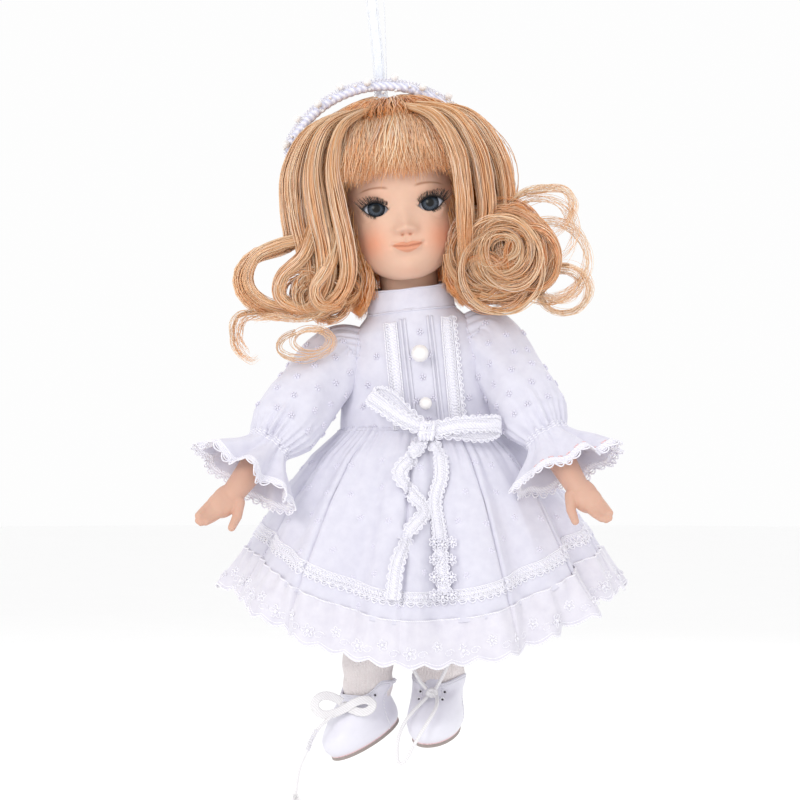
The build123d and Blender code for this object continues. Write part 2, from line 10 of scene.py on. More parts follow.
import bpy
import numpy as np
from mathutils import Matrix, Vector


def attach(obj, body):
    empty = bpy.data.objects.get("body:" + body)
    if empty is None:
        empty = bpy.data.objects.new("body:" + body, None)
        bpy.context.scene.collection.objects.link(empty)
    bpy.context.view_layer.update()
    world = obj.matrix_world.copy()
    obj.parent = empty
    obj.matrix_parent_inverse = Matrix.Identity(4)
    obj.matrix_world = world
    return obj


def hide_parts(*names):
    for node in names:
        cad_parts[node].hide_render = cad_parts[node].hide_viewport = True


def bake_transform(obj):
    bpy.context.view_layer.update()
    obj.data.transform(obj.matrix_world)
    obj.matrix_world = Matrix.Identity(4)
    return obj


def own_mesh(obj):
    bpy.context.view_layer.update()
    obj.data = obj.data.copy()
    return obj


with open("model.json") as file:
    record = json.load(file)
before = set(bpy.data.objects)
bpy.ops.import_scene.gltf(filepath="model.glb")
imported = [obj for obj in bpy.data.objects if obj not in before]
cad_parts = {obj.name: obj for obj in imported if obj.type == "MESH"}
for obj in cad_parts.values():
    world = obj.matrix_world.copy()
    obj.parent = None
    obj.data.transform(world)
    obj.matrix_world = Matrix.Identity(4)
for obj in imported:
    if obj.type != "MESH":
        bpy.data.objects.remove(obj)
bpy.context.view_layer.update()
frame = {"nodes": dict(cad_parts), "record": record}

MM = 0.001
SIDES = {"left": 1, "right": -1}

# ---- where the CAD frame puts the doll's bodies, in millimetres ----
JOINTS = {j["name"]: j for j in frame["record"]["behaviour"]["joints"]}
LEAN = 6.5
WAIST = (13.8, 0.0, -134.0)
HEAD_U = 1.0
ARM_PITCH = 28.0
ARM_SPREAD = {"left": 30.5, "right": 37.0}
FOOT_PITCH = {"left": 14.0, "right": 26.0}
FOOT_YAW = {"left": -14.0, "right": -50.0}
ANKLE_Z = {"left": -211.8, "right": -213.5}


def turn_x(angle):
    c, s = math.cos(math.radians(angle)), math.sin(math.radians(angle))
    return np.array([[1, 0, 0], [0, c, -s], [0, s, c]])


def turn_y(angle):
    c, s = math.cos(math.radians(angle)), math.sin(math.radians(angle))
    return np.array([[c, 0, s], [0, 1, 0], [-s, 0, c]])


def turn_z(angle):
    c, s = math.cos(math.radians(angle)), math.sin(math.radians(angle))
    return np.array([[c, -s, 0], [s, c, 0], [0, 0, 1]])


class Place:
    """A turned and moved frame: points in it become points in the doll's frame."""

    def __init__(self, origin, turn):
        self.origin, self.turn = np.array(origin, float), turn

    def __call__(self, points):
        return np.asarray(points, float) @ self.turn.T + self.origin


UPPER = Place(WAIST, turn_y(-LEAN))
WORLD = Place((0, 0, 0), np.eye(3))


def joint_at(name):
    return np.array(JOINTS[name]["pos_m"]) / MM


def arm_place(side):
    """Frame at the shoulder with -z down the arm."""
    spread = turn_y(-SIDES[side] * ARM_SPREAD[side])
    return Place(joint_at(f"{side}_shoulder"), spread @ turn_x(-ARM_PITCH))


def foot_place(side):
    """Frame at the ankle with -y to the toe."""
    origin = (joint_at(f"{side}_hip")[0], 0.0, ANKLE_Z[side])
    return Place(origin, turn_z(FOOT_YAW[side]) @ turn_x(FOOT_PITCH[side]))


# ---------------------------------------------------------------- numbers and curves


def step(a, b, x):
    """0 before a, 1 after b, smooth between."""
    t = np.clip((np.asarray(x, float) - a) / (b - a), 0, 1)
    return t * t * (3 - 2 * t)


def bump(x, y, x0, y0, sx, sy):
    return np.exp(-(((x - x0) / sx) ** 2) - ((y - y0) / sy) ** 2)


def around(cols):
    """Angles of even columns round one turn."""
    return np.arange(cols) * 2 * math.pi / cols


def between_rows(rows, t):
    """Rows of a table, as smooth curves of the row number t."""
    p = np.concatenate([2 * rows[:1] - rows[1:2], rows, 2 * rows[-1:] - rows[-2:-1]])
    i = np.minimum(t.astype(int), len(rows) - 2)
    f = (t - i).reshape((-1,) + (1,) * (rows.ndim - 1))
    a, b, c, d = p[i], p[i + 1], p[i + 2], p[i + 3]
    return 0.5 * (2 * b + (c - a) * f + (2 * a - 5 * b + 4 * c - d) * f**2 + (3 * b - a - 3 * c + d) * f**3)


def spline(points, samples):
    """A smooth line through control points, with evenly numbered samples."""
    p = np.asarray(points, float)
    return between_rows(p, np.linspace(0, len(p) - 1, samples))


def even(line, samples):
    """The same line with its samples an equal distance apart."""
    gaps = np.linalg.norm(np.diff(line, axis=0), axis=1)
    along = np.concatenate([[0], np.cumsum(gaps)])
    at = np.linspace(0, along[-1], samples)
    return np.stack([np.interp(at, along, line[:, k]) for k in range(3)], 1)


def length_of(line):
    return float(np.linalg.norm(np.diff(line, axis=0), axis=1).sum())


def wobble(x, seed, waves=5, low=1.0, high=5.0):
    """A smooth uneven curve of x over one turn, about -1 to 1, that meets itself."""
    r = np.random.default_rng(seed)
    out = np.zeros_like(np.asarray(x, float))
    for _ in range(waves):
        n = int(round(r.uniform(low, high)))
        out += r.uniform(0.4, 1.0) * np.sin(n * x + r.uniform(0, 2 * math.pi))
    return out / math.sqrt(waves)


def unit(v):
    return v / np.maximum(np.linalg.norm(v, axis=-1, keepdims=True), 1e-9)


def frames_along(paths):
    """Tangents and two normals carried along many lines at once: paths is (lines, samples, 3)."""
    t = unit(np.gradient(paths, axis=1))
    n = np.empty_like(t)
    first = np.cross(t[:, 0], [0.31, 0.83, 0.46])
    n[:, 0] = unit(first)
    for k in range(1, paths.shape[1]):
        held = n[:, k - 1] - (n[:, k - 1] * t[:, k]).sum(-1, keepdims=True) * t[:, k]
        n[:, k] = unit(held)
    return t, n, np.cross(t, n)


# ---------------------------------------------------------------- meshes


def sheet_faces(rows, cols, closed=False, start=0):
    """Quads of a sheet of points stored row by row; closed joins the two ends of each row."""
    last = cols if closed else cols - 1
    r, c = np.arange(rows - 1)[:, None], np.arange(last)[None, :]
    a, b = r * cols + c, r * cols + (c + 1) % cols
    return start + np.stack([a, b, b + cols, a + cols], -1).reshape(-1, 4)


def tube_mesh(paths, radii, sides=3, caps=True):
    """Round tubes along many lines at once. paths is (lines, samples, 3) and radii (lines, samples)."""
    count, samples, _ = paths.shape
    _, n, b = frames_along(paths)
    a = around(sides)
    ring = n[:, :, None] * np.cos(a)[:, None] + b[:, :, None] * np.sin(a)[:, None]
    points = (paths[:, :, None] + ring * radii[:, :, None, None]).reshape(-1, 3)
    one = sheet_faces(samples, sides, closed=True)
    starts = np.arange(count)[:, None, None] * samples * sides
    faces = [(one[None] + starts).reshape(-1, 4)]
    if caps:
        near = np.arange(sides)[::-1]
        far = (samples - 1) * sides + np.arange(sides)
        faces.append((np.stack([near, far])[None] + starts).reshape(-1, sides))
    return points, faces


def rod(path, radius, sides=5):
    """An even round thread along one line."""
    return tube_mesh(path[None], np.full((1, len(path)), radius), sides)


def wrapped(points):
    """A sheet's mesh from its (rows, cols, 3) points, each row closed on itself."""
    rows, cols = points.shape[:2]
    return points.reshape(-1, 3), [sheet_faces(rows, cols, closed=True)]


def capped(points):
    """A wrapped sheet whose first and last rows are filled."""
    rows, cols = points.shape[:2]
    points, faces = wrapped(points)
    ends = [np.arange(cols)[::-1][None], (rows - 1) * cols + np.arange(cols)[None]]
    return points, [*faces, *ends]


def join(*meshes):
    """One mesh of several (points, faces)."""
    points, faces, start = [], [], 0
    for p, fs in meshes:
        points.append(p)
        faces += [np.asarray(f) + start for f in fs]
        start += len(p)
    return np.concatenate(points), faces


def make(name, shape, material, body, place=WORLD, tint=None, replaces=(), smooth=True,
         thick=None):
    """A piece made of a mesh in millimetres, riding on a body. tint is a colour for each point."""
    points, faces = shape
    mesh = bpy.data.meshes.new(name)
    co = (place(points) * MM).astype(np.float32)
    faces = [np.asarray(f, np.int32) for f in faces if len(f)]
    loops = np.concatenate([f.ravel() for f in faces])
    sizes = np.concatenate([np.full(len(f), f.shape[1], np.int32) for f in faces])
    mesh.vertices.add(len(co))
    mesh.vertices.foreach_set("co", co.ravel())
    mesh.loops.add(len(loops))
    mesh.loops.foreach_set("vertex_index", loops)
    mesh.polygons.add(len(sizes))
    mesh.polygons.foreach_set("loop_start", (np.cumsum(sizes) - sizes).astype(np.int32))
    mesh.update(calc_edges=True)
    mesh.validate()
    if smooth:
        mesh.polygons.foreach_set("use_smooth", np.ones(len(mesh.polygons), bool))
    if tint is not None:
        layer = mesh.attributes.new("tint", "FLOAT_COLOR", "POINT")
        colour = np.ones((len(co), 4), np.float32)
        colour[:, :3] = tint
        layer.data.foreach_set("color", colour.ravel())
    mesh.materials.append(material)
    piece = bpy.data.objects.new(name, mesh)
    bpy.context.scene.collection.objects.link(piece)
    if thick:
        solid = piece.modifiers.new("thickness", "SOLIDIFY")
        solid.thickness, solid.offset = thick * MM, -1.0
    if body:
        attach(piece, body)
    if replaces:
        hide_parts(*replaces)
    return piece


def smooth_curve(name, points, radius, material):
    """A round cord whose points, in millimetres, are the control points of one NURBS spline."""
    data = bpy.data.curves.new(name, "CURVE")
    data.dimensions = "3D"
    line = data.splines.new("NURBS")
    line.points.add(len(points) - 1)
    for spot, p in zip(line.points, points):
        spot.co = (*(x * MM for x in p), 1)
    line.order_u = 3
    line.use_endpoint_u = True
    data.resolution_u = 12
    data.bevel_depth = radius * MM
    data.bevel_resolution = 4
    data.use_fill_caps = True
    if material:
        data.materials.append(material)
    piece = bpy.data.objects.new(name, data)
    bpy.context.scene.collection.objects.link(piece)
    return piece


def curve_line(points):
    """Points in millimetres along the NURBS spline that these points control."""
    guide = smooth_curve("guide", points, 0.0, None)
    bpy.context.view_layer.update()
    mesh = bpy.data.meshes.new_from_object(guide)
    line = np.array([v.co for v in mesh.vertices], float) / MM
    bpy.data.objects.remove(guide)
    bpy.data.meshes.remove(mesh)
    return line


def ball(centre, radii, rings=16, cols=24):
    """A closed ellipsoid."""
    th = np.linspace(0, math.pi, rings)[1:-1]
    ph = around(cols)
    x = np.sin(th)[:, None] * np.cos(ph)
    y = np.sin(th)[:, None] * np.sin(ph)
    z = np.cos(th)[:, None] * np.ones(cols)
    pts = np.stack([x, y, z], -1).reshape(-1, 3)
    pts = np.vstack([pts, [0, 0, 1], [0, 0, -1]]) * radii + centre
    body = sheet_faces(len(th), cols, closed=True)[:, ::-1]
    k = np.arange(cols)
    top = np.stack([np.full(cols, len(pts) - 2), k, (k + 1) % cols], 1)
    low = (len(th) - 1) * cols
    end = np.stack([np.full(cols, len(pts) - 1), low + (k + 1) % cols, low + k], 1)
    return pts, [body, np.concatenate([top, end])]


def balls(centres, radii, turns=None, rings=8, cols=12):
    """Many small ellipsoids; turns are (n, 3, 3) matrices."""
    unit_ball, faces = ball((0, 0, 0), (1, 1, 1), rings, cols)
    radii = np.broadcast_to(radii, (len(centres), 3))
    pts = unit_ball[None] * radii[:, None]
    if turns is not None:
        pts = np.einsum("nij,npj->npi", turns, pts)
    pts = pts + np.asarray(centres)[:, None]
    starts = np.arange(len(centres))[:, None, None] * len(unit_ball)
    return pts.reshape(-1, 3), [(np.asarray(f)[None] + starts).reshape(-1, f.shape[1]) for f in faces]


# ---------------------------------------------------------------- materials


def material(name, colour, rough=0.6, **sockets):
    """A Principled material whose uniform values sit on the shader's own sockets."""
    m = bpy.data.materials.new(name)
    m.use_nodes = True
    tree = m.node_tree
    shader = tree.nodes["Principled BSDF"]
    shader.inputs["Base Color"].default_value = (*colour, 1)
    shader.inputs["Roughness"].default_value = rough
    for socket, value in sockets.items():
        shader.inputs[socket.replace("_", " ")].default_value = value
    return m, tree, shader


def node(tree, kind, **settings):
    n = tree.nodes.new(kind)
    for key, value in settings.items():
        if key in n.inputs:
            n.inputs[key].default_value = value
        else:
            setattr(n, key, value)
    return n


def coords(tree, scale=1000.0, turn=(0, 0, 0)):
    """Object coordinates in millimetres."""
    where = node(tree, "ShaderNodeTexCoord")
    mapping = node(tree, "ShaderNodeMapping")
    mapping.inputs["Scale"].default_value = (scale,) * 3
    mapping.inputs["Rotation"].default_value = turn
    tree.links.new(where.outputs["Object"], mapping.inputs["Vector"])
    return mapping.outputs["Vector"]


def texture(tree, kind, **settings):
    """A texture that reads object coordinates in millimetres."""
    pattern = node(tree, kind, **settings)
    tree.links.new(coords(tree), pattern.inputs["Vector"])
    return pattern


def tinted(tree, shader, spread=0.0, scale=0.4):
    """Base colour from the mesh's own tint, a little uneven."""
    tint = node(tree, "ShaderNodeAttribute", attribute_name="tint")
    out = tint.outputs["Color"]
    if spread:
        noise = texture(tree, "ShaderNodeTexNoise", Scale=scale, Detail=4.0)
        mix = node(tree, "ShaderNodeHueSaturation")
        level = node(tree, "ShaderNodeMapRange")
        level.inputs["To Min"].default_value = 1 - spread
        level.inputs["To Max"].default_value = 1 + spread
        tree.links.new(noise.outputs["Fac"], level.inputs["Value"])
        tree.links.new(level.outputs["Result"], mix.inputs["Value"])
        tree.links.new(out, mix.inputs["Color"])
        out = mix.outputs["Color"]
    tree.links.new(out, shader.inputs["Base Color"])


def relief(tree, shader, source, distance, strength=1.0):
    """Bump from a node's output, distance in millimetres."""
    b = node(tree, "ShaderNodeBump", Strength=strength, Distance=distance * MM)
    tree.links.new(source, b.inputs["Height"])
    tree.links.new(b.outputs["Normal"], shader.inputs["Normal"])
    return b


def shade(tree, shader, fac, dark, light):
    """Base colour that runs from dark to light with fac."""
    mix = node(tree, "ShaderNodeMix", data_type="RGBA")
    for s in mix.inputs:
        if s.name == "Factor" and s.type == "VALUE":
            tree.links.new(fac, s)
    colours = [s for s in mix.inputs if s.type == "RGBA"]
    colours[0].default_value, colours[1].default_value = (*dark, 1), (*light, 1)
    out = [s for s in mix.outputs if s.type == "RGBA"][0]
    tree.links.new(out, shader.inputs["Base Color"])


def woven(name, dark, light, threads=3.2, depth=0.05, rough=0.85, sheen=0.25, blotch=0.35, **sockets):
    """Plain weave: two crossing sets of threads with slubs, darker in the gaps."""
    m, tree, shader = material(name, light, rough, Sheen_Weight=sheen, Sheen_Roughness=0.5, **sockets)
    at = coords(tree)
    bands = []
    for turn in ((0, 0, 0), (0, math.pi / 2, 0)):
        wave = node(tree, "ShaderNodeTexWave", Scale=threads * 0.16, Distortion=1.6, Detail=2.0)
        wave.inputs["Detail Scale"].default_value = 2.0
        spin = node(tree, "ShaderNodeMapping")
        spin.inputs["Rotation"].default_value = turn
        tree.links.new(at, spin.inputs["Vector"])
        tree.links.new(spin.outputs["Vector"], wave.inputs["Vector"])
        bands.append(wave.outputs["Fac"])
    both = node(tree, "ShaderNodeMath", operation="ADD")
    tree.links.new(bands[0], both.inputs[0])
    tree.links.new(bands[1], both.inputs[1])
    cloud = node(tree, "ShaderNodeTexNoise", Scale=blotch, Detail=5.0)
    tree.links.new(at, cloud.inputs["Vector"])
    level = node(tree, "ShaderNodeMath", operation="MULTIPLY_ADD")
    tree.links.new(both.outputs[0], level.inputs[0])
    level.inputs[1].default_value = 0.22
    tree.links.new(cloud.outputs["Fac"], level.inputs[2])
    relief(tree, shader, both.outputs[0], depth)
    shade(tree, shader, level.outputs[0], dark, light)
    return m


def yarn(name, dark, light, rough=0.75, twist=2.2, depth=0.05, **sockets):
    """Spun thread: a fine slanting twist."""
    m, tree, shader = material(name, light, rough, Sheen_Weight=0.3, **sockets)
    wave = node(tree, "ShaderNodeTexWave", Scale=twist, Distortion=2.5, Detail=2.0,
                bands_direction="DIAGONAL")
    tree.links.new(coords(tree, 300.0), wave.inputs["Vector"])
    relief(tree, shader, wave.outputs["Fac"], depth)
    shade(tree, shader, wave.outputs["Fac"], dark, light)
    return m


def bisque_material(name, painted):
    m, tree, shader = material(name, (0.78, 0.56, 0.45), 0.52, Subsurface_Weight=0.10,
                               Subsurface_Scale=0.0012)
    shader.inputs["Specular IOR Level"].default_value = 0.32
    if painted:
        tinted(tree, shader, 0.035, 0.5)
    else:
        cloud = texture(tree, "ShaderNodeTexNoise", Scale=0.12, Detail=3.0)
        shade(tree, shader, cloud.outputs["Fac"], (0.60, 0.35, 0.26), (0.68, 0.43, 0.33))
    grain = texture(tree, "ShaderNodeTexNoise", Scale=6.0, Detail=3.0)
    relief(tree, shader, grain.outputs["Fac"], 0.012)
    return m


def hair_material():
    m, tree, shader = material("wig_hair", (0.6, 0.36, 0.14), 0.26, Coat_Weight=0.25, Coat_Roughness=0.2)
    shader.inputs["Specular IOR Level"].default_value = 0.9
    tinted(tree, shader, 0.10, 0.5)
    return m


def glass_material():
    m, tree, shader = material("eye_glass", (0.3, 0.35, 0.42), 0.3, Coat_Weight=0.3, Coat_Roughness=0.02)
    shader.inputs["Specular IOR Level"].default_value = 0.15
    tinted(tree, shader, 0.04, 2.0)
    return m


def pearl_material():
    m, tree, shader = material("pearl", (0.86, 0.83, 0.80), 0.16, Coat_Weight=0.6, Coat_Roughness=0.05)
    shader.inputs["Sheen Weight"].default_value = 0.3
    cloud = texture(tree, "ShaderNodeTexNoise", Scale=0.9, Detail=3.0)
    shade(tree, shader, cloud.outputs["Fac"], (0.78, 0.74, 0.76), (0.93, 0.92, 0.88))
    relief(tree, shader, cloud.outputs["Fac"], 0.02)
    return m


def leather_material():
    m, tree, shader = material("shoe_leatherette", (0.82, 0.80, 0.88), 0.42, Coat_Weight=0.15,
                               Coat_Roughness=0.3)
    tinted(tree, shader, 0.03, 0.6)
    grain = texture(tree, "ShaderNodeTexVoronoi", Scale=3.2)
    relief(tree, shader, grain.outputs["Distance"], 0.02)
    return m


def knit_material():
    """Knitted cotton: columns of small loops."""
    m, tree, shader = material("sock_knit", (0.86, 0.80, 0.82), 0.9, Sheen_Weight=0.4)
    cells = texture(tree, "ShaderNodeTexVoronoi", Scale=2.4, Randomness=0.35)
    shade(tree, shader, cells.outputs["Distance"], (0.98, 0.93, 0.92), (0.85, 0.77, 0.76))
    relief(tree, shader, cells.outputs["Distance"], 0.10)
    return m


def shadow_material():
    m, tree, shader = material("eyelet_shadow", (0.05, 0.045, 0.05), 0.9)
    # painted shadow for the eyelet holes, a little uneven
    shadow_mottle = texture(tree, "ShaderNodeTexNoise", Scale=3.0)
    shade(tree, shader, shadow_mottle.outputs["Fac"], (0.03, 0.026, 0.03), (0.09, 0.08, 0.085))
    return m


def board_material():
    m, tree, shader = material("shoe_sole", (0.36, 0.31, 0.29), 0.8)
    layers = texture(tree, "ShaderNodeTexNoise", Scale=2.0, Detail=6.0)
    shade(tree, shader, layers.outputs["Fac"], (0.26, 0.22, 0.21), (0.45, 0.38, 0.35))
    relief(tree, shader, layers.outputs["Fac"], 0.05)
    return m


BISQUE = bisque_material("bisque", True)
BISQUE_PLAIN = bisque_material("bisque_plain", False)
HAIR = hair_material()
GLASS = glass_material()
PEARL = pearl_material()
LEATHER = leather_material()
BOARD = board_material()
SOCK = knit_material()
SHADOW = shadow_material()
COTTON = woven("dress_cotton", (0.595, 0.585, 0.695), (0.745, 0.735, 0.825), threads=7.0, depth=0.02)
LINING = woven("petticoat_cotton", (0.60, 0.57, 0.66), (0.78, 0.76, 0.83), threads=5.0, depth=0.02)
CALICO = woven("stuffed_cloth", (0.62, 0.55, 0.47), (0.86, 0.80, 0.72), threads=2.4)
NET = woven("wig_net", (0.40, 0.26, 0.13), (0.62, 0.42, 0.24), threads=1.4, depth=0.12)
ORGANZA = woven("organza_flounce", (0.60, 0.58, 0.68), (0.77, 0.75, 0.82), threads=8.0, depth=0.015,
                rough=0.36, sheen=0.5)
RIBBON = woven("ribbon", (0.74, 0.78, 0.88), (0.92, 0.94, 0.99), threads=4.0, rough=0.5, sheen=0.4)
LACE = yarn("white_lace", (0.80, 0.79, 0.89), (0.95, 0.94, 0.98))
SPOT = yarn("woven_spot", (0.70, 0.685, 0.80), (0.82, 0.80, 0.90))
STITCH = yarn("white_stitch", (0.80, 0.79, 0.88), (0.95, 0.94, 0.97), rough=0.35)
PINK = yarn("pink_thread", (0.70, 0.42, 0.46), (0.90, 0.66, 0.68))
CORD = yarn("shoe_lace", (0.83, 0.81, 0.83), (0.93, 0.92, 0.93))
SATIN = yarn("headband_satin", (0.62, 0.63, 0.80), (0.90, 0.90, 0.98), rough=0.32, twist=1.0)


# ---------------------------------------------------------------- the bisque head
# height, half width, half depth and depth offset of the head, in the leaning frame

HEAD_RINGS = np.array([
    (45.3, 0.0, 0.0, -10.6),
    (45.9, 4.6, 4.4, -9.6),
    (48.4, 9.6, 10.0, -6.6),
    (53.0, 13.8, 15.0, -3.9),
    (60.0, 16.6, 18.4, -1.5),
    (68.0, 18.0, 20.3, 0.0),
    (76.0, 18.8, 21.3, 1.0),
    (84.0, 18.0, 20.2, 1.5),
    (91.0, 14.0, 16.0, 1.5),
    (95.0, 8.0, 9.0, 1.5),
    (96.4, 0.0, 0.0, 1.5),
])
EYE_U, EYE_W, EYE_V, EYE_R = 8.1, 66.6, -12.6, 5.6
EYE_HALF_WIDTH, EYE_UPPER, EYE_LOWER = 3.75, 2.1, 2.15
FACE_SHIFT = 0.6  # the painted features sit a little to the doll's left
LID = 0.32  # how far the lids stand proud of the eye ball
MOUTH_W, NOSE_W, BROW_W = 55.0, 60.2, 72.3
SKIN = np.array([0.72, 0.465, 0.345])
BLUSH = np.array([0.80, 0.30, 0.17])
LIPS = np.array([0.68, 0.27, 0.155])
BROW = np.array([0.34, 0.14, 0.07])
LINER = np.array([0.035, 0.025, 0.025])


def eye_edge(u, w, side):
    """Distance outside the almond opening of an eye, in the face's plane; negative inside it."""
    x = (u - FACE_SHIFT - side * EYE_U) * side  # grows to the outer corner
    y = w - EYE_W - 0.10 * x
    share = np.clip(np.abs(x) / EYE_HALF_WIDTH, 0, 1)
    top = EYE_UPPER * (1 - share**2.3)
    low = EYE_LOWER * (1 - share**2.0)
    over = np.where(y > 0, y - top, -y - low)
    return np.maximum(over, np.abs(x) - EYE_HALF_WIDTH)


def mouth_line(u):
    return MOUTH_W + 0.018 * u**2 - 0.10 * np.cos(np.clip(u / 1.1, -1.5, 1.5) * 1.2)


def face_relief(u, w):
    """How far each point of the face stands forward of the plain head, in millimetres."""
    out = 0.9 * bump(np.abs(u), w, 9.2, 57.0, 4.8, 4.6)
    out += 1.15 * bump(u, w, 0, 48.6, 3.4, 2.5) - 0.55 * bump(u, w, 0, 51.9, 3.4, 1.1)
    out -= 0.9 * bump(np.abs(u), w, EYE_U - 3.4, EYE_W + 0.6, 2.4, 3.0)
    out += 0.5 * bump(np.abs(u), w, 8.5, BROW_W - 0.6, 6.0, 2.2)
    ridge = step(70.5, 61.2, w) * step(NOSE_W - 2.0, NOSE_W - 0.5, w)
    out += (0.3 + 1.7 * step(69.0, 60.5, w)) * ridge * np.exp(-((u / (1.9 + 0.8 * step(66, 60, w))) ** 2))
    out += 1.4 * bump(u, w, 0, NOSE_W + 0.1, 2.0, 1.5)
    out += 1.1 * bump(np.abs(u), w, 2.7, NOSE_W - 0.6, 1.3, 1.2)
    out -= 0.75 * bump(np.abs(u), w, 1.15, NOSE_W - 1.75, 0.55, 0.42)
    out -= 0.28 * bump(u, w, 0, NOSE_W - 3.3, 0.55, 1.0)
    out += 0.55 * bump(u, w, 0, MOUTH_W, 5.2, 2.4)
    line = mouth_line(u)
    wide = step(5.3, 3.6, np.abs(u))
    bow = 0.95 - 0.35 * np.exp(-((u / 0.7) ** 2)) + 0.12 * np.exp(-(((np.abs(u) - 1.3) / 0.8) ** 2))
    out += 0.62 * wide * np.exp(-(((w - line - 0.62 * bow) / 0.55) ** 2))
    out += 0.78 * wide * step(4.6, 2.6, np.abs(u)) * np.exp(-(((w - line + 0.95) / 0.75) ** 2))
    out -= 0.42 * step(5.0, 4.2, np.abs(u)) * np.exp(-(((w - line) / 0.2) ** 2))
    out -= 0.35 * bump(np.abs(u), w, 4.9, MOUTH_W + 0.3, 0.7, 0.7)
    return out


def face_paint(u, w, front):
    """Fired-on colours: blush, lips, brows, and the dark line round the eyes."""
    def over(colour, paint, amount):
        return colour * (1 - amount[:, None]) + paint * amount[:, None]

    tone = np.repeat(SKIN[None], len(u), 0)
    tone = over(tone, BLUSH, 0.62 * front * bump(np.abs(u), w, 10.4, 56.6, 4.8, 4.6))
    tone = over(tone, BLUSH, 0.16 * front * bump(np.abs(u), w, EYE_U, EYE_W + 3.6, 4.6, 1.6))
    tone = over(tone, BLUSH, 0.22 * front * bump(u, w, 0, NOSE_W - 1.8, 2.2, 0.6))
    tone = over(tone, BLUSH, 0.14 * front * bump(u, w, 0, 47.5, 3.0, 1.6))
    line = mouth_line(u)
    top = (1.25 - 0.3 * np.exp(-((u / 0.75) ** 2))) * (1 - (np.clip(np.abs(u), 0, 4.7) / 4.7) ** 2.2)
    low = 1.85 * (1 - (np.clip(np.abs(u), 0, 4.4) / 4.4) ** 2.0)
    lips = step(0.16, -0.16, w - line - top) * step(-0.2, 0.2, w - line + low) * step(4.9, 4.5, np.abs(u))
    tone = over(tone, LIPS, 0.80 * front * lips)
    parting = step(4.6, 3.8, np.abs(u))
    tone = over(tone, LIPS * 0.55, 0.55 * front * parting * np.exp(-(((w - line) / 0.16) ** 2)))
    nostril = bump(np.abs(u), w, 1.15, NOSE_W - 1.85, 0.4, 0.26)
    tone = over(tone, LIPS * 0.6, 0.6 * front * nostril)
    x = np.abs(u) - 8.4
    arch = BROW_W + 0.55 - 0.038 * (x + 0.6) ** 2
    ends = step(-5.0, -3.2, x) * step(4.9, 2.2, x)
    tone = over(tone, BROW, 0.80 * front * ends * np.exp(-(((w - arch) / (0.30 - 0.02 * x)) ** 2)))
    for side in SIDES.values():
        near = step(EYE_HALF_WIDTH + 1.9, EYE_HALF_WIDTH + 0.3, np.abs(u - side * EYE_U))
        edge = eye_edge(u + FACE_SHIFT, w, side)
        upper = step(EYE_W - 0.9, EYE_W + 0.6, w)
        dark = (0.40 + 0.58 * upper) * np.exp(-((np.maximum(edge, 0) / (0.26 + 0.24 * upper)) ** 2))
        tone = over(tone, LINER, front * near * dark)
    return tone


def head_shape():
    """Points of the head, finest over the face, with its eye openings pushed in behind the eye balls."""
    rows, cols = 300, 420
    t = np.linspace(0, len(HEAD_RINGS) - 1, 1200)
    rings = ring_rows(HEAD_RINGS, t)
    pace = np.interp(rings[:, 0], [45.3, 47, 78, 82, 96.4], [3.0, 2.6, 2.6, 0.8, 0.9])
    gap = np.concatenate([[0], np.cumsum(np.hypot(np.diff(rings[:, 0]), np.diff(rings[:, 1])) * pace[1:])])
    at = np.linspace(0, gap[-1], rows)
    rings = np.stack([np.interp(at, gap, rings[:, k]) for k in range(4)], 1)
    q = np.linspace(-math.pi, math.pi, cols, endpoint=False)
    angle = q - 0.62 * np.sin(q)  # crowds the columns to the front, where angle is 0
    w, a, b, v0 = (rings[:, k][:, None] for k in range(4))
    u = a * np.sin(angle)[None]
    v = v0 - b * np.cos(angle)[None]
    w = w * np.ones_like(u)
    front = step(0.15, 0.55, np.cos(angle))[None] * np.ones_like(u)
    for side in SIDES.values():
        for _ in range(2):  # snap the nearest points onto the edge of the opening
            edge = eye_edge(u, w, side)
            e = 0.02
            gu = (eye_edge(u + e, w, side) - eye_edge(u - e, w, side)) / (2 * e)
            gw = (eye_edge(u, w + e, side) - eye_edge(u, w - e, side)) / (2 * e)
            size = np.maximum(np.hypot(gu, gw), 0.3)
            snap = (np.abs(edge) < 0.13) & (v < -5)
            u = np.where(snap, u - edge * gu / size**2, u)
            w = np.where(snap, w - edge * gw / size**2, w)
    v = v - front * face_relief(u - FACE_SHIFT, w)
    inside = np.zeros_like(u, bool)
    for side in SIDES.values():
        d2 = (u - FACE_SHIFT - side * EYE_U) ** 2 + (w - EYE_W) ** 2
        reach = (EYE_R + LID) ** 2
        lid = EYE_V - np.sqrt(np.maximum(reach - d2, 0))
        share = step(reach, reach * 0.42, d2) * (v < -5)
        v = v * (1 - share) + np.minimum(v, lid) * share
        edge = eye_edge(u, w, side)
        v = v - 0.16 * np.exp(-((np.maximum(edge, 0) / 0.4) ** 2)) * (v < -5)
        crease = np.exp(-(((edge - 1.15) / 0.28) ** 2)) * step(EYE_W + 0.4, EYE_W + 1.6, w)
        v = v + 0.30 * crease * (v < -5)
        inside |= (edge < -0.02) & (v < -5)
    tone = face_paint(u.ravel() - FACE_SHIFT, w.ravel(), front.ravel())
    # painted shade: the inside of each eye opening, behind the lids, takes the liner's dark colour
    tone[inside.ravel()] = LINER
    v = np.where(inside, v + 4.2, v)
    points = np.stack([u + HEAD_U, v, w], -1).reshape(-1, 3)
    return points, sheet_faces(rows, cols, closed=True), tone


def ring_rows(table, t):
    """Smooth rows of a table of rings, whose half sizes never go below nothing."""
    rows = between_rows(table, t)
    rows[:, 1:3] = np.maximum(rows[:, 1:3], 0)
    return rows


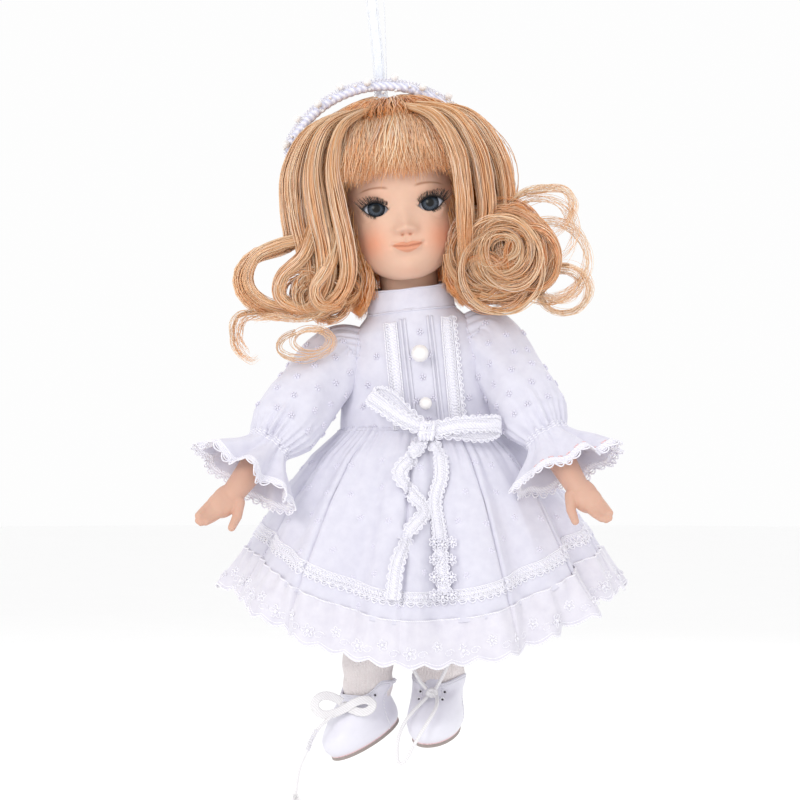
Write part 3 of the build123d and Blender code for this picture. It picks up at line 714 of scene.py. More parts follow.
def neck_shape():
    """The neck and the shoulder plate under it."""
    heights = [(57.0, 8.6, 8.6), (50.0, 8.75, 8.75), (44.0, 8.8, 8.8), (39.0, 8.9, 8.9), (35.0, 9.8, 9.6),
               (31.5, 11.2, 10.6), (28.4, 12.0, 11.2)]
    rings = ring_rows(np.array([(w, a, b, 0) for w, a, b in heights]), np.linspace(0, 6, 40))
    q = around(72)
    centre = np.interp(rings[:, 0], [28, 38], [0.0, HEAD_U])[:, None]
    u = centre + rings[:, 1:2] * np.sin(q)
    v = np.interp(rings[:, 0], [28, 38], [0.0, 1.0])[:, None] - rings[:, 2:3] * np.cos(q)
    w = rings[:, 0:1] * np.ones_like(u)
    return np.stack([u, v, w], -1).reshape(-1, 3), sheet_faces(40, 72, closed=True)


def make_head():
    points, faces, tone = head_shape()
    neck, neck_faces = neck_shape()
    shape = join((points, [faces]), (neck, [neck_faces]))
    tint = np.vstack([tone, np.repeat(SKIN[None] * 0.97, len(neck), 0)])
    make("bisque_head", shape, BISQUE, "doll", UPPER, tint, ["shoulder_head"])


def make_eyes():
    """Glass eyes: white, dark-rimmed iris with fine rays, pupil, and a slight cornea, the top of each ball
    darkened as painted shade from the upper lid.
    """
    rings, cols = 90, 160
    th = np.concatenate([np.linspace(0, 0.55, 60), np.linspace(0.58, math.pi / 2 * 1.05, rings - 60)])
    ph = around(cols)
    r = th[:, None] * EYE_R * np.ones(cols)  # distance from the gaze line, over the ball
    rays = 0.5 + 0.5 * wobble(ph, 5, 9, 9, 40)[None] * step(0.5, 1.6, r)
    iris_r, pupil_r = 2.72, 1.15
    iris = np.array([0.022, 0.029, 0.040])[None, None] * (0.6 + 1.0 * rays[..., None])
    iris = iris * (1 + 0.7 * np.exp(-(((r - 1.6) / 0.4) ** 2)))[..., None]
    iris = iris * (1 - 0.82 * np.exp(-(((r - iris_r) / 0.22) ** 2)))[..., None]
    # the white's grey is the glass's tint, kept low partly as painted shade from the lids
    white = np.array([0.56, 0.58, 0.66])[None, None] * np.ones_like(iris)
    beyond = step(iris_r - 0.06, iris_r + 0.12, r)[..., None]
    within = step(iris_r + 0.12, iris_r - 0.06, r)[..., None]
    tone = white * beyond + iris * within
    tone = tone * step(pupil_r - 0.1, pupil_r + 0.12, r)[..., None] + 0.004
    out = EYE_R - 0.04 + 0.28 * step(iris_r + 0.5, 0.3, r)
    narrow = 1 - 0.22 * step(0.85, 1.35, th)[:, None]  # the blown glass narrows behind the lids
    x = out * narrow * np.sin(th)[:, None] * np.cos(ph)
    z = out * narrow * np.sin(th)[:, None] * np.sin(ph)
    y = -out * np.cos(th)[:, None] * np.ones(cols)
    for name, side in SIDES.items():
        # painted shade: each ball darkens towards its top, under the upper lid
        shadow = 1 - 0.72 * step(0.2, 2.2, z)[..., None]
        points = np.stack([x, y, z], -1).reshape(-1, 3) @ (turn_z(-1.5 * side) @ turn_x(-3.0)).T
        points = points + (HEAD_U + FACE_SHIFT + side * EYE_U, EYE_V, EYE_W)
        back = np.arange(cols)[None] + (rings - 1) * cols
        shape = (points, [sheet_faces(rings, cols, closed=True), back])
        make(f"{name}_glass_eye", shape, GLASS, "doll", UPPER,
             (tone * shadow).reshape(-1, 3), [f"{name}_eye"])


def make_lashes():
    """Curved lashes fanned along each upper lid, and short ones below the outer corner."""
    lines, radii = [], []
    r = np.random.default_rng(3)
    for side in SIDES.values():
        for lid, count, long in ((1, 84, 2.9), (-1, 22, 1.15)):
            for k in range(count):
                along = -0.86 + 1.86 * k / (count - 1) if lid > 0 else 0.05 + 0.95 * k / count
                x = along * EYE_HALF_WIDTH
                share = min(abs(x) / EYE_HALF_WIDTH, 1)
                y = EYE_UPPER * (1 - share**2.3) if lid > 0 else -EYE_LOWER * (1 - share**2)
                root = np.array([side * (EYE_U + x), 0.0, EYE_W + y + 0.10 * x])
                d2 = x * x + y * y
                root[1] = EYE_V - math.sqrt((EYE_R + LID) ** 2 - d2) - 0.12
                fan = side * (0.30 * x / EYE_HALF_WIDTH + 0.12) * 2.0 + r.normal(0, 0.12)
                reach = long * (0.75 + 0.35 * step(-2.5, 3.5, x)) * r.uniform(0.8, 1.15)
                mid = root + np.array([fan * 0.45, -0.62, 0.10 * lid]) * reach * 0.62
                tip = root + np.array([fan, -0.72, 0.66 * lid]) * reach
                lines.append(spline([root, mid, tip], 8))
                radii.append(np.linspace(0.135, 0.03, 8))
    shape = tube_mesh(np.array(lines) + (HEAD_U + FACE_SHIFT, 0, 0), np.array(radii), 4)
    m, tree, shader = material("lash_hair", (0.02, 0.014, 0.014), 0.45)
    grain = texture(tree, "ShaderNodeTexNoise", Scale=4.0)
    shade(tree, shader, grain.outputs["Fac"], (0.008, 0.006, 0.006), (0.05, 0.035, 0.03))
    make("eyelash_hairs", shape, m, "doll", UPPER, None, ["eyelashes"])


make_head()
make_eyes()
make_lashes()


# ---------------------------------------------------------------- the wig

HAIR_CENTRE = np.array([0.8, 1.6, 72.6])
HAIR_HALF = np.array([32.2, 26.6, 26.0])
GOLD = np.array([0.80, 0.37, 0.125])
PALE = np.array([0.99, 0.80, 0.56])
# the darker amber that hair lying under other hair is mixed towards: painted shade
SHADE_AMBER = np.array([0.80, 0.27, 0.045])
hair_rng = np.random.default_rng(23)


def strand_tint(count, deep, light=0.5):
    """A colour for each strand; deep runs from 0, outermost, to 1, under the rest, and mixes the strand
    towards a darker amber as painted shade.
    """
    mix = hair_rng.beta(1.6, 2.2, count)[:, None] * light * 2
    tone = GOLD * (1 - np.clip(mix, 0, 1)) + PALE * np.clip(mix, 0, 1)
    deep = np.clip(np.asarray(deep) + hair_rng.normal(0, 0.10, count), 0, 1)[:, None]
    return tone * (1 - deep) + SHADE_AMBER * deep


def strands(lines, radius=0.12, tints=None, sides=3):
    """Tapered strands along many lines, some with a painted highlight band."""
    count, samples, _ = lines.shape
    s = np.linspace(0, 1, samples)
    radii = radius * hair_rng.uniform(0.75, 1.25, (count, 1)) * (1 - 0.75 * step(0.75, 1.0, s))[None]
    shape = tube_mesh(lines, radii, sides, caps=False)
    # painted highlight: a pale band about two thirds of the way along some strands
    highlight_band = 0.75 * hair_rng.beta(0.6, 3.0, (count, 1)) * np.exp(-(((s - 0.60) / 0.20) ** 2))[None]
    tint = tints[:, None] * (1 - 0.10 * np.cos(s * math.pi))[None, :, None]
    tint = (tint + (1 - tint) * highlight_band[..., None])[:, :, None] * np.ones((1, 1, sides, 1))
    return shape, tint.reshape(-1, 3)


def lock(guide, count, width, samples=26, frizz=0.25, deep=0.25, light=0.5, taper=0.55):
    """A bundle of strands along a guide; width is its radius at the root, middle and tip."""
    line = even(spline(guide, samples * 3), samples)
    s = np.linspace(0, 1, samples)
    _, n, b = frames_along(line[None])
    spread = np.interp(s, [0, 0.5, 1], width)
    rho = np.sqrt(hair_rng.uniform(0, 1, count))[:, None]
    phi = hair_rng.uniform(0, 2 * math.pi, count)[:, None]
    x = rho * np.cos(phi) * spread
    y = rho * np.sin(phi) * spread
    wave = hair_rng.uniform(1.0, 3.2, (count, 1)) * 2 * math.pi
    off = hair_rng.uniform(0, 2 * math.pi, (count, 2))
    x = x + frizz * (0.4 + s) * np.sin(wave * s + off[:, :1])
    y = y + frizz * (0.4 + s) * np.sin(wave * s * 0.83 + off[:, 1:])
    lines = line[None] + n[0][None] * x[..., None] + b[0][None] * y[..., None]
    end = 1 - taper * hair_rng.uniform(0, 1, count) ** 3  # strands end unevenly
    at = np.clip(s[None] * end[:, None], 0, 1) * (samples - 1)
    i = np.minimum(at.astype(int), samples - 2)
    f = (at - i)[..., None]
    rows = np.arange(count)[:, None]
    lines = lines[rows, i] * (1 - f) + lines[rows, i + 1] * f
    # painted shade: strands nearer the core of the lock are darker
    return lines, strand_tint(count, deep * (1 - rho[:, 0]) * 2, light)


def over_head(azimuth, theta, layer):
    """Points on the hair's dome: azimuth 0 is the front, positive to the doll's left."""
    x = np.sin(theta) * np.sin(azimuth)
    y = -np.sin(theta) * np.cos(azimuth)
    z = np.cos(theta)
    return HAIR_CENTRE + np.stack([x, y, z], -1) * HAIR_HALF * np.asarray(layer)[..., None]


def fall(count, azimuths, ends, layers, start=0.10, samples=20, frizz=0.35, light=0.55, deep=0.0):
    """Strands that run from the crown down over the dome to an end angle from the top."""
    az = hair_rng.uniform(*azimuths, count)
    layer = hair_rng.uniform(*layers, count)
    end = ends(az) + hair_rng.normal(0, 0.045, count)
    s = np.linspace(0, 1, samples)
    theta = start + (end[:, None] - start) * s[None]
    lean = hair_rng.normal(0, 0.09, (count, 1))
    phase = hair_rng.uniform(0, 6.28, (count, 1))
    sway = 0.035 * np.sin(2.6 * s * math.pi + phase)
    swing = az[:, None] + lean * s + sway + 0.05 * np.sin(3 * az[:, None] + 4 * s)
    lift = layer[:, None] + 0.012 * np.sin(5 * s + phase * 2) + 0.02 * np.sin(9 * az[:, None] + 2.0 * s)
    lines = over_head(swing, theta, lift)
    lines = lines + frizz * 0.5 * np.sin(7 * s[None, :, None] + hair_rng.uniform(0, 6, (count, 1, 3)))
    # painted shade: strands of the inner layer are darker
    under = 1 - (layer - layers[0]) / (layers[1] - layers[0])
    tone = strand_tint(count, deep + 0.55 * under + 0.25 * np.sin(7 * az) ** 2, light)
    return lines, tone


def gather(name, parts, replaces=(), sides=3, radius=0.12):
    """One piece from several (lines, colours)."""
    shapes, tints = [], []
    for lines, tone in parts:
        shape, tint = strands(lines, radius, tone, sides)
        shapes.append(shape)
        tints.append(tint)
    return make(name, join(*shapes), HAIR, "doll", UPPER, np.vstack(tints), replaces)


def pushed_up(piece, u, w):
    """Gives the piece its own copy of its mesh; the point at u and w is worked out but not used."""
    tuple(UPPER((u, -12, w)) * MM)
    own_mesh(piece)


def hair_base():
    """A closed amber under-layer of hair, so that no scalp shows between strands."""
    rows, cols = 60, 200
    az = around(cols) - math.pi
    front = np.clip(np.cos(az), -1, 1)
    end = np.interp(front, [-1, 0.0, 0.62, 0.72, 1], [2.25, 2.25, 2.1, 1.28, 1.28])
    theta = np.linspace(0.02, 1, rows)[:, None] * end[None]
    ripple = 0.90 + 0.018 * np.sin(az * 31)[None] * step(0.1, 0.6, theta) + 0.01 * np.sin(az * 53 + 1)[None]
    outer = over_head(az[None] * np.ones((rows, 1)), theta, ripple)
    inner = over_head(az[None] * np.ones((rows, 1)), theta, ripple - 0.06)[::-1]
    points = np.concatenate([outer, inner]).reshape(-1, 3)
    faces = sheet_faces(rows * 2, cols, closed=True)
    close = sheet_faces(2, cols, closed=True)
    close = np.where(close >= cols, close - cols + (rows * 2 - 1) * cols, close)[:, ::-1]
    # painted shade: the under-layer takes the darkest hair colour
    tint = np.repeat((SHADE_AMBER * 0.85)[None], len(points), 0)
    make("wig_underlayer", (points, [faces, close]), HAIR, "doll", UPPER, tint, ["wig_crown"])


def ring_curl(centre, radius, start, turns, depth, squeeze=1.0, grow=0.0, samples=40):
    """A guide that winds in the plane of the face; angles in turns, from the doll's left, anticlockwise."""
    t = np.linspace(0, 1, samples)
    a = 2 * math.pi * (start + turns * t)
    r = radius * (1 + grow * t)
    u = centre[0] + r * np.cos(a)
    w = centre[1] + r * squeeze * np.sin(a)
    v = depth[0] + (depth[1] - depth[0]) * t
    return np.stack([u, v, w], 1)


def make_fringe():
    """Full straight bangs that end in an uneven line above the brows."""
    line = lambda az: 1.42 - 0.02 * np.cos(3 * az) + 0.035 * np.sin(11 * az) + 0.06 * np.abs(az) ** 2
    parts = [
        # the inner layer is darker as painted shade, the outer one paler as painted light
        fall(900, (-0.92, 0.98), line, (0.90, 0.955), light=0.4, deep=0.25),
        fall(1500, (-0.98, 1.02), line, (0.955, 1.0), light=0.75),
    ]
    gather("wig_fringe_hair", parts, ["wig_fringe"])


def make_crown():
    """The hair that falls from the crown to the sides and back, and the short tuft on top."""
    low = lambda az: 1.75 + 0.10 * np.sin(5 * az)
    back = lambda az: 2.05 + 0.06 * np.sin(6 * az)
    sides = [fall(1100, span, low, (0.92, 1.0), light=0.6) for span in ((0.80, 1.9), (-1.9, -0.78))]
    rear = [fall(2400, (1.8, 4.5), back, (0.93, 1.0), light=0.5, deep=0.1)]
    tuft = []
    for k in range(16):
        az = -1.3 + 2.6 * k / 15
        root = np.array([1.6 + 0.8 * math.sin(az), -1.0, 97.8])
        tip = over_head(np.array(az * 0.9), np.array(0.52), np.array(1.03))
        mid = (root + tip) / 2 + (0, -0.5, 2.2)
        guide = [root, mid, tip, tip + (0, -2.2, -3.0)]
        tuft.append(lock(guide, 40, (0.5, 1.6, 1.9), 14, frizz=0.35, deep=0.75, light=0.3))
    for span in ((-1.75, -0.93), (0.95, 1.8)):  # a thin veil that runs the bangs into the side locks
        sides.append(fall(520, span, low, (1.0, 1.05), light=0.8, frizz=0.6))
    for span in ((-2.1, -1.15), (1.15, 2.1)):  # flyaways
        sides.append(fall(45, span, back, (1.03, 1.09), light=0.9, frizz=1.6))
    gather("wig_side_falls", sides)
    gather("wig_back_falls", rear)
    gather("wig_crown_tuft", tuft)


def side_locks(side):
    """Guides from the crown past the face into the curls; side -1 is the doll's right."""
    if side < 0:
        return [
            ([(-4, -9, 97.6), (-13.5, -18.5, 92), (-17.5, -21, 81), (-17.2, -20.5, 69), (-16.2, -19, 58),
              (-16.5, -17.5, 49),
              (-20, -16.5, 42.5), (-27, -15, 38.6)], 230, (0.6, 2.6, 2.2)),
            ([(-5, -7, 98.0), (-18, -16, 92.5), (-23.5, -18.5, 81), (-23.5, -18.5, 68), (-22.5, -17, 57),
              (-23.5, -15.5, 48),
              (-28, -14.5, 41.5), (-34, -13, 39.2)], 280, (0.6, 3.2, 2.6)),
            ([(-6, -4, 98.2), (-21, -12, 93), (-28.5, -14, 81), (-29.5, -14, 68), (-28.5, -13.5, 57),
              (-29, -13, 47),
              (-33, -12.5, 41)], 280, (0.6, 3.2, 2.4)),
            ([(-6, 0, 98.3), (-23, -6, 93.5), (-31.2, -8, 82), (-32.6, -9, 70), (-32.6, -10, 60.5),
              (-37.5, -11, 58.6),
              (-44, -11.5, 57.2), (-48.6, -11.5, 52.6), (-48.2, -11.5, 46.5), (-43, -11.5, 41),
              (-35.5, -11.5, 38.6)],
             330, (0.6, 2.4, 1.7)),
            ([(-22, -14, 72), (-27, -13.5, 62), (-36, -13.5, 60), (-43, -13, 57.5), (-46.6, -12.5, 51.5),
              (-44.5, -12.5, 45.5),
              (-38, -12.5, 41.5), (-30, -13, 40.8), (-25.5, -14, 45), (-28, -15, 50.5)], 240,
              (2.0, 1.6, 1.4)),
            ([(-24, -16, 66), (-29, -16, 56), (-36, -15.5, 50.5), (-37.5, -15, 44.5), (-32.5, -15, 40.4),
              (-26, -15.5, 40.2)],
             200, (2.4, 2.0, 1.7)),
            ([(-18, -17, 62), (-22, -17.5, 52), (-27, -17, 45.5), (-25.5, -17, 40.5), (-20, -17, 40)], 170,
             (2.2, 1.9, 1.4)),
        ]
    return [
        ([(4, -9, 97.6), (14, -18.5, 92), (19, -21, 81), (19.8, -20.5, 70), (19.2, -19, 60),
          (18.6, -17.5, 51)], 230, (0.6, 2.8, 2.4)),
        ([(6, -6, 98.1), (19, -15, 92.5), (25, -17.5, 81), (26.2, -17, 70), (25.5, -16, 60.5),
          (21.5, -15.5, 51)], 280, (0.6, 3.2, 2.6)),
        ([(7, -1, 98.2), (23, -9, 92.5), (30.2, -11, 81.5), (32.4, -11, 71), (31.5, -11.5, 62),
          (26, -12.5, 55)], 280, (0.6, 3.0, 2.4)),
    ]


def make_right_curls():
    parts = [lock(g, n, w, 30, deep=0.6, light=0.5) for g, n, w in side_locks(-1)]
    loops = [
        (ring_curl((-31.5, 29.6), 8.2, 0.30, 1.05, (-15.2, -16.4), 0.50), 15),
        (ring_curl((-30.0, 30.6), 5.6, 0.10, 1.20, (-15.0, -16.0), 0.62), 9),
        ([(-44, -12, 41), (-50.5, -12.5, 40.5), (-52.8, -12.5, 36.0), (-52.0, -12.8, 30.6),
          (-48.4, -13, 26.6), (-45.6, -13, 27.6)], 26),
        ([(-40, -13, 40), (-48.6, -13, 39), (-50.8, -13.4, 33.6), (-48.6, -13.6, 28.6)], 16),
        ([(-22, -15.5, 41), (-27, -16, 38), (-33, -16, 37.5), (-39.5, -15.5, 38.8), (-46, -14.5, 38.4)], 34),
    ]
    thin = [lock(g, n, (0.9, 0.9, 0.7), 34, deep=0.1, light=0.6, frizz=0.5, taper=0.3) for g, n in loops]
    parts += nest(34, (-27.0, 45.0), np.array([9.0, 6.0]), (3.0, 6.5), (-16.0, -8.0), 16)
    pushed_up(gather("wig_right_locks", parts, ["wig_right_curls"]), -30, 90)
    pushed_up(gather("wig_right_wisps", thin, radius=0.08), -34, 41)


def nest(count, centre, half, radii, depths, strands_each=16):
    """Loose rings of hair wound round a centre at many depths, sizes and tilts."""
    out = []
    for _ in range(count):
        offset = hair_rng.normal(0, 0.32, 2) * half
        r = hair_rng.uniform(*radii)
        v = hair_rng.uniform(*depths)
        guide = ring_curl((centre[0] + offset[0], centre[1] + offset[1]), r, hair_rng.uniform(0, 1),
                          hair_rng.uniform(0.7, 1.2), (v, v + hair_rng.uniform(-2.5, 2.5)),
                          hair_rng.uniform(0.8, 1.15))
        outer = (depths[1] - v) / (depths[1] - depths[0])
        guide[:, 1] += 1.6 * np.sin(np.linspace(0, 5, len(guide)) + r)
        # painted shade and light: rings deeper in the nest are darker, those at its outside paler
        deep, light = 0.95 - 0.75 * outer, 0.35 + 0.35 * outer
        out.append(lock(guide, strands_each, (1.1, 1.0, 0.8), 36, deep=deep, light=light, frizz=0.5,
                        taper=0.4))
    return out


def make_under_locks():
    """Hair between the face, the neck and the curls on each side, coloured dark as painted shade."""
    for name, sign in SIDES.items():
        parts = []
        for k in range(9):
            u = 13.2 + 1.9 * k
            v = -9.5 + 0.9 * (k % 3) * 2
            low = 40.5 + 1.2 * (k % 4)
            guide = [(sign * (u * 0.86) + 1, v - 1.5, 76), (sign * u + 1, v - 1.0, 66),
                     (sign * (u + 0.6) + 1, v, 56),
                     (sign * (u - 0.4 + 0.2 * k) + 1, v + 1.5, 47),
                     (sign * (u - 1.5 + 0.3 * k) + 1, v + 3, low)]
            parts.append(lock(guide, 130, (1.8, 2.6, 2.2), 24, deep=0.95, light=0.25, frizz=0.5))
        for k in range(5):
            v = -8.6 + 2.6 * k
            guide = [(sign * 14.6 + 1, v - 2.2, 60), (sign * 13.2 + 1, v - 1.0, 52),
                     (sign * 12.6 + 1, v - 1.0, 46),
                     (sign * 14.4 + 0.7, v, 40.5), (sign * 17.0 + 0.7, v, 37.2)]
            parts.append(lock(guide, 120, (1.4, 2.2, 1.8), 24, deep=1.0, light=0.25, frizz=0.5))
        gather(f"wig_{name}_under_locks", parts)


def make_left_curls():
    """The round ball of curls at the doll's left, with looser rings beside it."""
    parts = [lock(g, n, w, 30, deep=0.5, light=0.5) for g, n, w in side_locks(1)]
    rings = [
        (ring_curl((29.5, 49.6), 12.2, 0.28, 1.15, (-13.0, -15.5), 1.02), 300, 2.3),
        (ring_curl((30.5, 48.8), 9.2, 0.18, 1.25, (-15.0, -16.5), 1.0), 260, 2.0),
        (ring_curl((29.0, 50.2), 5.8, 0.42, 1.35, (-16.5, -17.5), 1.0), 170, 1.7),
        (ring_curl((30.0, 49.4), 12.6, 0.55, 0.95, (-9.0, -6.0), 1.0), 260, 2.6),
        (ring_curl((30.0, 49.0), 7.0, 0.05, 1.2, (-11.0, -9.0), 1.0), 170, 2.6),
        (ring_curl((37.6, 47.2), 7.6, 0.30, 1.30, (-16.0, -17.8), 1.22), 110, 0.85),
        (ring_curl((36.4, 48.2), 5.0, 0.32, 1.15, (-16.8, -17.8), 1.15), 60, 0.7),
        (ring_curl((34.0, 58.6), 4.3, 0.75, 1.10, (-14.2, -16.4), 1.10), 60, 0.7),
        (ring_curl((22.0, 43.5), 6.4, 0.40, 1.0, (-15.5, -17.0), 1.0), 120, 1.6),
    ]
    look = {"deep": 0.7, "light": 0.42, "frizz": 0.45, "taper": 0.35}
    ball_of = [lock(g, n // 2, (w, w, w * 0.8), 40, **look) for g, n, w in rings]
    ball_of += nest(70, (29.2, 49.6), np.array([9.0, 9.0]), (3.5, 12.5), (-17.5, -7.5), 18)
    loose = [
        ([(31, -12, 62), (36, -12.5, 66.4), (43, -12.5, 67.6), (49.5, -12.5, 66.4), (51.6, -12.5, 61.4),
          (48.6, -12.5, 56.4),
          (44, -12, 53.4)], 26, 1.1),
        (ring_curl((46.2, 37.2), 7.3, 0.20, 1.25, (-12.0, -13.5), 0.98), 26, 0.8),
        (ring_curl((45.0, 38.4), 5.6, 0.0, 1.1, (-12.5, -13.5), 0.7), 10, 0.6),
        (ring_curl((42.5, 46.5), 11.8, 0.42, -0.82, (-11.5, -12.5), 1.0), 16, 1.4),
        (ring_curl((41.0, 55.0), 10.6, 0.47, -0.72, (-11.0, -12.5), 0.95), 12, 1.6),
        ([(30, -13, 38), (37, -13.5, 35.6), (44, -13.5, 34.2), (50, -13, 37.4), (52.6, -13, 43)], 14, 1.2),
    ]
    look = {"deep": 0.05, "light": 0.7, "frizz": 0.8, "taper": 0.3}
    thin = [lock(g, int(n * 1.6), (w, w, w), 36, **look) for g, n, w in loose]
    gather("wig_left_locks", parts)
    pushed_up(gather("wig_left_ball", ball_of, ["wig_left_curls"]), 30, 64)
    gather("wig_left_wisps", thin, radius=0.07)


def make_back_curls():
    """Ringlets that hang from the back of the wig."""
    parts = []
    # the mass is darker than the ringlets, as painted shade beneath them
    for k in range(17):  # the mass the ringlets lie on
        az = math.radians(86 + 188 * k / 16)
        top = over_head(np.array(az), np.array(1.45), np.array(0.94))
        side = over_head(np.array(az), np.array(1.8), np.array(0.93))
        low = 41.5 + 1.6 * math.sin(2.3 * k)
        guide = [top, side, side * (0.88, 0.86, 0) + (0, 0, 56), side * (0.80, 0.74, 0) + (0, 0, 48),
                 side * (0.78, 0.70, 0) + (0, 0, low)]
        parts.append(lock(guide, 170, (2.6, 4.2, 2.6), 26, deep=0.8, light=0.35, frizz=0.6))
    for k in range(15):
        az = math.radians(94 + 172 * k / 14)
        top = over_head(np.array(az), np.array(1.75), np.array(0.97))
        turns, t = 1.7, np.linspace(0, 1, 44)
        radius = np.interp(t, [0, 0.3, 1], [0.4, 2.6, 2.2])
        out = np.array([math.sin(az), -math.cos(az), 0])
        low = 37.5 + 2.2 * math.sin(3.1 * k)
        axis = top[None] * np.array([0.93, 0.90, 1]) + out * 0.8
        axis = axis * np.array([1, 1, 0]) + np.stack([0 * t, 0 * t, top[2] + (low - top[2]) * t], 1)
        a = 2 * math.pi * turns * t + k * 1.7
        side = np.cross(out, [0, 0, 1])
        guide = axis + radius[:, None] * (np.cos(a)[:, None] * out + np.sin(a)[:, None] * side)
        parts.append(lock(guide, 190, (2.2, 2.3, 1.6), 44, deep=0.45, light=0.5, frizz=0.4, taper=0.45))
    gather("wig_back_ringlets", parts)


hair_base()
make_fringe()
make_crown()
make_under_locks()
make_right_curls()
make_left_curls()
make_back_curls()


# ---------------------------------------------------------------- headband and hanging ribbon

BAND_CENTRE, BAND_R, BAND_BACK_TILT = (-3.0, 2.0, 73.0), 31.5, 8.0


def band_point(angle, reach):
    """A point of the headband's arch, angle in degrees from the doll's left; its ends tuck in."""
    a = np.radians(angle)
    reach = reach - 5.0 * step(146, 168, angle)
    flat = np.stack([reach * np.cos(a), np.zeros_like(a), reach * np.sin(a)], -1)
    return flat @ turn_x(BAND_BACK_TILT).T + BAND_CENTRE


def make_headband():
    """Satin wound in slanting turns round the wire, a lace edge, and beading thread."""
    turns, rows, sides = 46, 900, 20
    t = np.linspace(0, 1, rows)
    path = band_point(5 + 170 * t, np.full(rows, BAND_R))[None]
    _, n, b = frames_along(path)
    a = around(sides)
    saw = (t[:, None] * turns + a[None] / (2 * math.pi)) % 1
    radius = 1.18 + 0.26 * np.sin(math.pi * saw) ** 0.6
    ring = n[0][:, None] * np.cos(a)[:, None] + b[0][:, None] * np.sin(a)[:, None]
    make("headband_wrap", capped(path[0][:, None] + ring * radius[..., None]), SATIN, "doll", UPPER, None,
         ["headband_satin", "headband_wire"])
    loops = []
    for lift, wide, count in ((0.4, 1.5, 88), (-0.3, 1.25, 96)):
        s = np.linspace(0.02, 0.98, count * 10)
        swing = np.abs(np.sin(math.pi * s * count))
        line = band_point(5 + 170 * s, BAND_R + 0.9 + wide * swing)
        line[:, 1] += lift + 0.4 * np.sin(2 * math.pi * s * count)
        loops.append(rod(line, 0.15))
    make("headband_lace_edge", join(*loops), LACE, "doll", UPPER, None, [])
    centres = []
    for k, angle in enumerate([18, 34, 50, 64, 79, 93, 107, 121, 134, 148, 163]):
        out, forward = (2.7, 0.0) if k % 2 == 0 else (1.67, -2.16)
        p = band_point(np.array([float(angle)]), np.array([BAND_R + out]))
        centres.append((p + np.array([0, forward, 0]) @ turn_x(BAND_BACK_TILT).T)[0])
    turns = np.array([turn_z(37.0 * k) @ turn_x(21.0 * k) for k in range(len(centres))])
    beads = balls(np.array(centres), (1.27, 1.2, 1.24), turns, 14, 20)
    tiny = []
    for angle in np.arange(12, 160, 7.3):
        reach = np.array([BAND_R + 2.0 * math.cos(angle)])
        tiny.append(band_point(np.array([angle]), reach)[0] + (0, -1.7, 0))
    grains = balls(np.array(tiny), (0.5, 0.5, 0.5), None, 8, 12)
    make("headband_beads", join(beads, grains), PEARL, "doll", UPPER, None, ["headband_pearls"])


RIBBON_ROUTE = [(1.0, 1.2, -33.2), (0.4, 1.2, -22.0), (-1.2, 1.2, -9.0), (-1.9, 1.2, -1.8), (-1.7, 1.2, 0.5),
                (1.7, 1.2, 0.5),
                (1.9, 1.2, -1.8), (2.3, 1.2, -9.0), (2.7, 1.2, -22.0), (3.0, 1.2, -33.2)]


def make_ribbon():
    """The hanging loop: a narrow picot-edged ribbon, its front run face on and its other run edge on."""
    line = even(curve_line(RIBBON_ROUTE), 520)
    s = np.linspace(0, 1, len(line))
    turn = (math.pi / 2) * (1 - step(0.40, 0.56, s))
    t = unit(np.gradient(line, axis=0))
    deep = np.array([0.0, 1.0, 0.0])
    side = unit(np.cross(t, deep))
    across = deep * np.cos(turn)[:, None] + side * np.sin(turn)[:, None]
    normal = np.cross(t, across)
    rows = []
    for x in np.linspace(-1.0, 1.0, 9):
        rib = 0.05 * math.cos(x * 12)
        rows.append(line + across * (1.25 * x) + normal * (0.10 + rib))
    for x in np.linspace(1.0, -1.0, 9):
        rows.append(line + across * (1.25 * x) - normal * 0.10)
    edges = []
    for edge in (-1, 1):
        picot = 1.28 + 0.42 * np.abs(np.sin(math.pi * s * 78))
        edges.append(rod(line + across * (edge * picot)[:, None], 0.13))
    ribbon = make("hanging_ribbon_tape", join(capped(np.stack(rows, 1)), *edges), RIBBON, "doll", WORLD, None,
                  ["hanging_ribbon"])
    length_of(line) * MM
    wraps = []
    for k in range(5):
        a = np.linspace(0, 2 * math.pi, 40)
        w = -34.8 + (k - 2) * 0.55
        r = 1.9 - 0.12 * (k - 2) ** 2
        ring = np.stack([2.0 + r * np.cos(a), 1.2 + 0.75 * r * np.sin(a), w + 0.25 * np.sin(a + k)], 1)
        wraps.append(rod(ring, 0.38, 8))
    wraps.append(ball((2.0, 1.2, -34.8), (1.7, 1.3, 1.6)))
    make("ribbon_stitched_knot", join(*wraps), RIBBON, "doll", WORLD, None, ["ribbon_knot"])


make_headband()
make_ribbon()


# ---------------------------------------------------------------- lace and stitching


def facing(line, across, out=None):
    """The direction off the cloth: towards out at the line's start, or to the front of the doll."""
    up = unit(np.cross(np.gradient(line, axis=0), across))
    towards = np.array([0.0, -1.0, 0.0]) if out is None else np.asarray(out, float)
    start = up[: max(3, len(up) // 40)].mean(0)
    return up if start @ towards > 0 else -up


